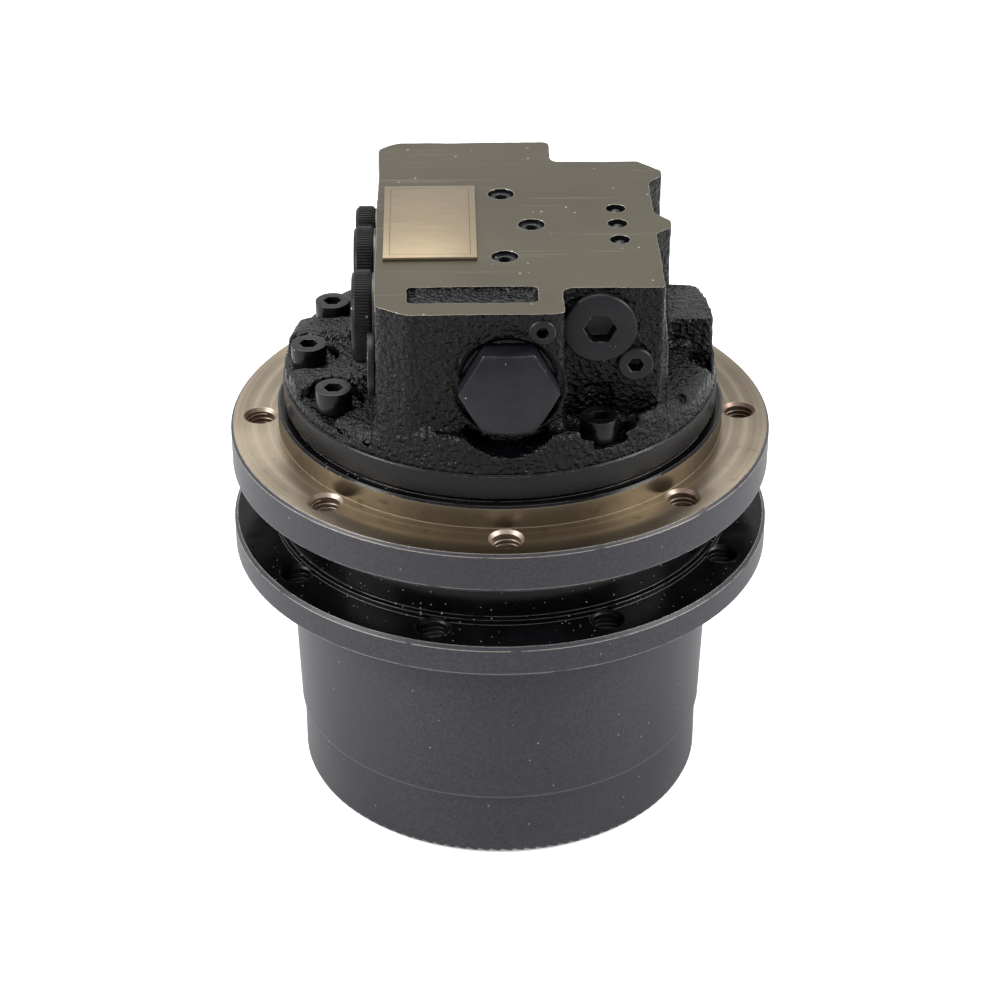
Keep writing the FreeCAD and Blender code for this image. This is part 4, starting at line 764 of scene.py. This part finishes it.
washer_steel = bare_steel("pale_washer", (0.05, 0.049, 0.047, 1), (0.11, 0.108, 0.10, 1), 0.34)
piece("port_washers_finished", eased("port_washers", 0.2 * MM), "frame_side", ["port_washers"],
      [washer_steel])
piece("side_plug_finished", eased("side_plug", 0.4 * MM), "frame_side", ["side_plug"],
      [face_black])

# ------------------------------------------------------------------ plugs in the milled top
# Three screw plugs with hexagon sockets and three pressed balls close drillings that were made from
# above.  They were sprayed with the block, and their rims are rubbed.
rim_black = dark_steel("rubbed_plug", (0.004, 0.004, 0.005, 1), (0.010, 0.010, 0.011, 1), 0.18)
piece("top_plugs_finished", eased("top_plugs", 0.3 * MM), "frame_side", ["top_plugs"],
      [rim_black])
BALL_FIT, BALL_SINK = 0.94, 0.5 * MM
balls = bmesh.new()
for low, high in shells("ball_plugs"):
    radius = (high.x - low.x) / 2 * BALL_FIT
    centre = (low + high) / 2
    spot = Matrix.Translation((centre.x, centre.y, block_top - BALL_SINK - radius))
    bmesh.ops.create_uvsphere(balls, u_segments=32, v_segments=20, radius=radius, matrix=spot)
piece("ball_plugs_finished", balls, "frame_side", ["ball_plugs"], [rim_black])

# ------------------------------------------------------------------ name plate
# A thin brushed plate stuck to the top, left without any words: only a fine etched frame line runs
# round it, inside its edge.
plate_low, plate_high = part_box("name_plate")
plate = Finish(bpy.data.materials.new("champagne_plate"))
brushing = plate.grain(90.0, 3.0, (1.0, 22.0, 1.0))
plate_base = plate.mix(brushing, (0.15, 0.116, 0.074, 1), (0.27, 0.217, 0.146, 1))
middle = (plate_low + plate_high) / 2
half = (plate_high - plate_low) / 2
FRAME_IN, FRAME_LINE = 2.2 * MM, 0.28 * MM
from_edge = None
for name, centre, reach in (("X", middle.x, half.x), ("Y", middle.y, half.y)):
    inward = reach - plate.math("ABSOLUTE", plate.axis(name) - centre)
    from_edge = inward if from_edge is None else plate.math("MINIMUM", from_edge, inward)
etched = (from_edge > FRAME_IN) * (from_edge < FRAME_IN + FRAME_LINE)
plate_base = plate.mix(etched * 0.75, plate_base, (0.05, 0.045, 0.04, 1))
plate_base = plate.mix(plate.rim(0.25 * MM, 0.05, 0.4) * 0.4, plate_base, (0.60, 0.52, 0.40, 1))
plate_metal = plate.skin({"Base Color": plate_base, "Metallic": 0.9, "Roughness": 0.34 + brushing * 0.2,
                          "Normal": plate.relief(brushing, 0.02 * MM, plate.eased_edges(0.2 * MM))})
piece("name_plate_finished", eased("name_plate", 0.2 * MM), "frame_side", ["name_plate"],
      [plate_metal])

# ------------------------------------------------------------------ inside: gears, bearings and motor
# These pieces show only when the drive is taken apart.  Their solids stay as they are, and each kind
# of metal, rubber and lining gets its own finish; only the brake's springs are wound anew.
def soft_finish(name, dark, pale, rough, scale):
    """Rubber or friction lining: matt, with a fine grain."""
    finish = Finish(bpy.data.materials.new(name))
    grain = finish.grain(scale, 4.0)
    base = finish.mix(finish.between(grain, 0.3, 0.7), dark, pale)
    return finish.skin({"Base Color": base, "Roughness": rough + grain * 0.2, "Specular IOR Level": 0.3,
                        "Normal": finish.relief(grain, 0.04 * MM, finish.eased_edges(0.2 * MM))})


by_slot = {
    "frame_steel": gear_steel, "housing_paint": satin_black, "casting_paint": cast_black,
    "gear_steel": gear_steel, "black_steel": screw_black, "cap_plastic": cap_black,
    "plate_metal": plate_metal, "washer_steel": washer_steel,
    "bearing_steel": bare_steel("ground_bearing_steel", (0.36, 0.36, 0.36, 1), (0.50, 0.50, 0.49, 1), 0.16),
    "bronze": bare_steel("bearing_bronze", (0.36, 0.21, 0.08, 1), (0.52, 0.33, 0.14, 1), 0.28),
    "spring_steel": bare_steel("oiled_spring_steel", (0.06, 0.065, 0.08, 1), (0.15, 0.15, 0.17, 1), 0.3),
    "seal_rubber": soft_finish(
        "nitrile_rubber", (0.006, 0.006, 0.006, 1), (0.014, 0.014, 0.014, 1), 0.5, 900.0),
    "friction": soft_finish(
        "oiled_friction_lining", (0.05, 0.035, 0.02, 1), (0.11, 0.08, 0.05, 1), 0.55, 1400.0)}
for entry in frame["record"]["subparts"]:
    node = nodes[entry["node"]]
    if not node.hide_render:
        node.data.materials.clear()
        node.data.materials.append(by_slot[entry["material_slot"]])

# the brake's coil springs, on the circle of the tubes that stand for them
coil_boxes = shells("brake_springs")
SPRING_WIRE, SPRING_TURNS = 0.6 * MM, 6.5
coil_low, coil_high = coil_boxes[0]
centre = (coil_low + coil_high) / 2
tube_r = min((high.x - low.x) / 2 for low, high in coil_boxes)
coils = grown(thread_tree, {
    "Turns": SPRING_TURNS, "Hole": tube_r - SPRING_WIRE, "Deep": coil_high.z - coil_low.z - 2 * SPRING_WIRE,
    "Crest": SPRING_WIRE, "Count": len(coil_boxes), "Ring": math.hypot(centre.x, centre.y),
    "Turn": math.atan2(centre.y, centre.x), "Finish": by_slot["spring_steel"]})
coils.transform(Matrix.Translation((0, 0, coil_low.z + SPRING_WIRE)))
coil_piece = piece("brake_spring_coils", coils, "frame_side", ["brake_springs"],
                   [by_slot["spring_steel"]])
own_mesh(coil_piece)
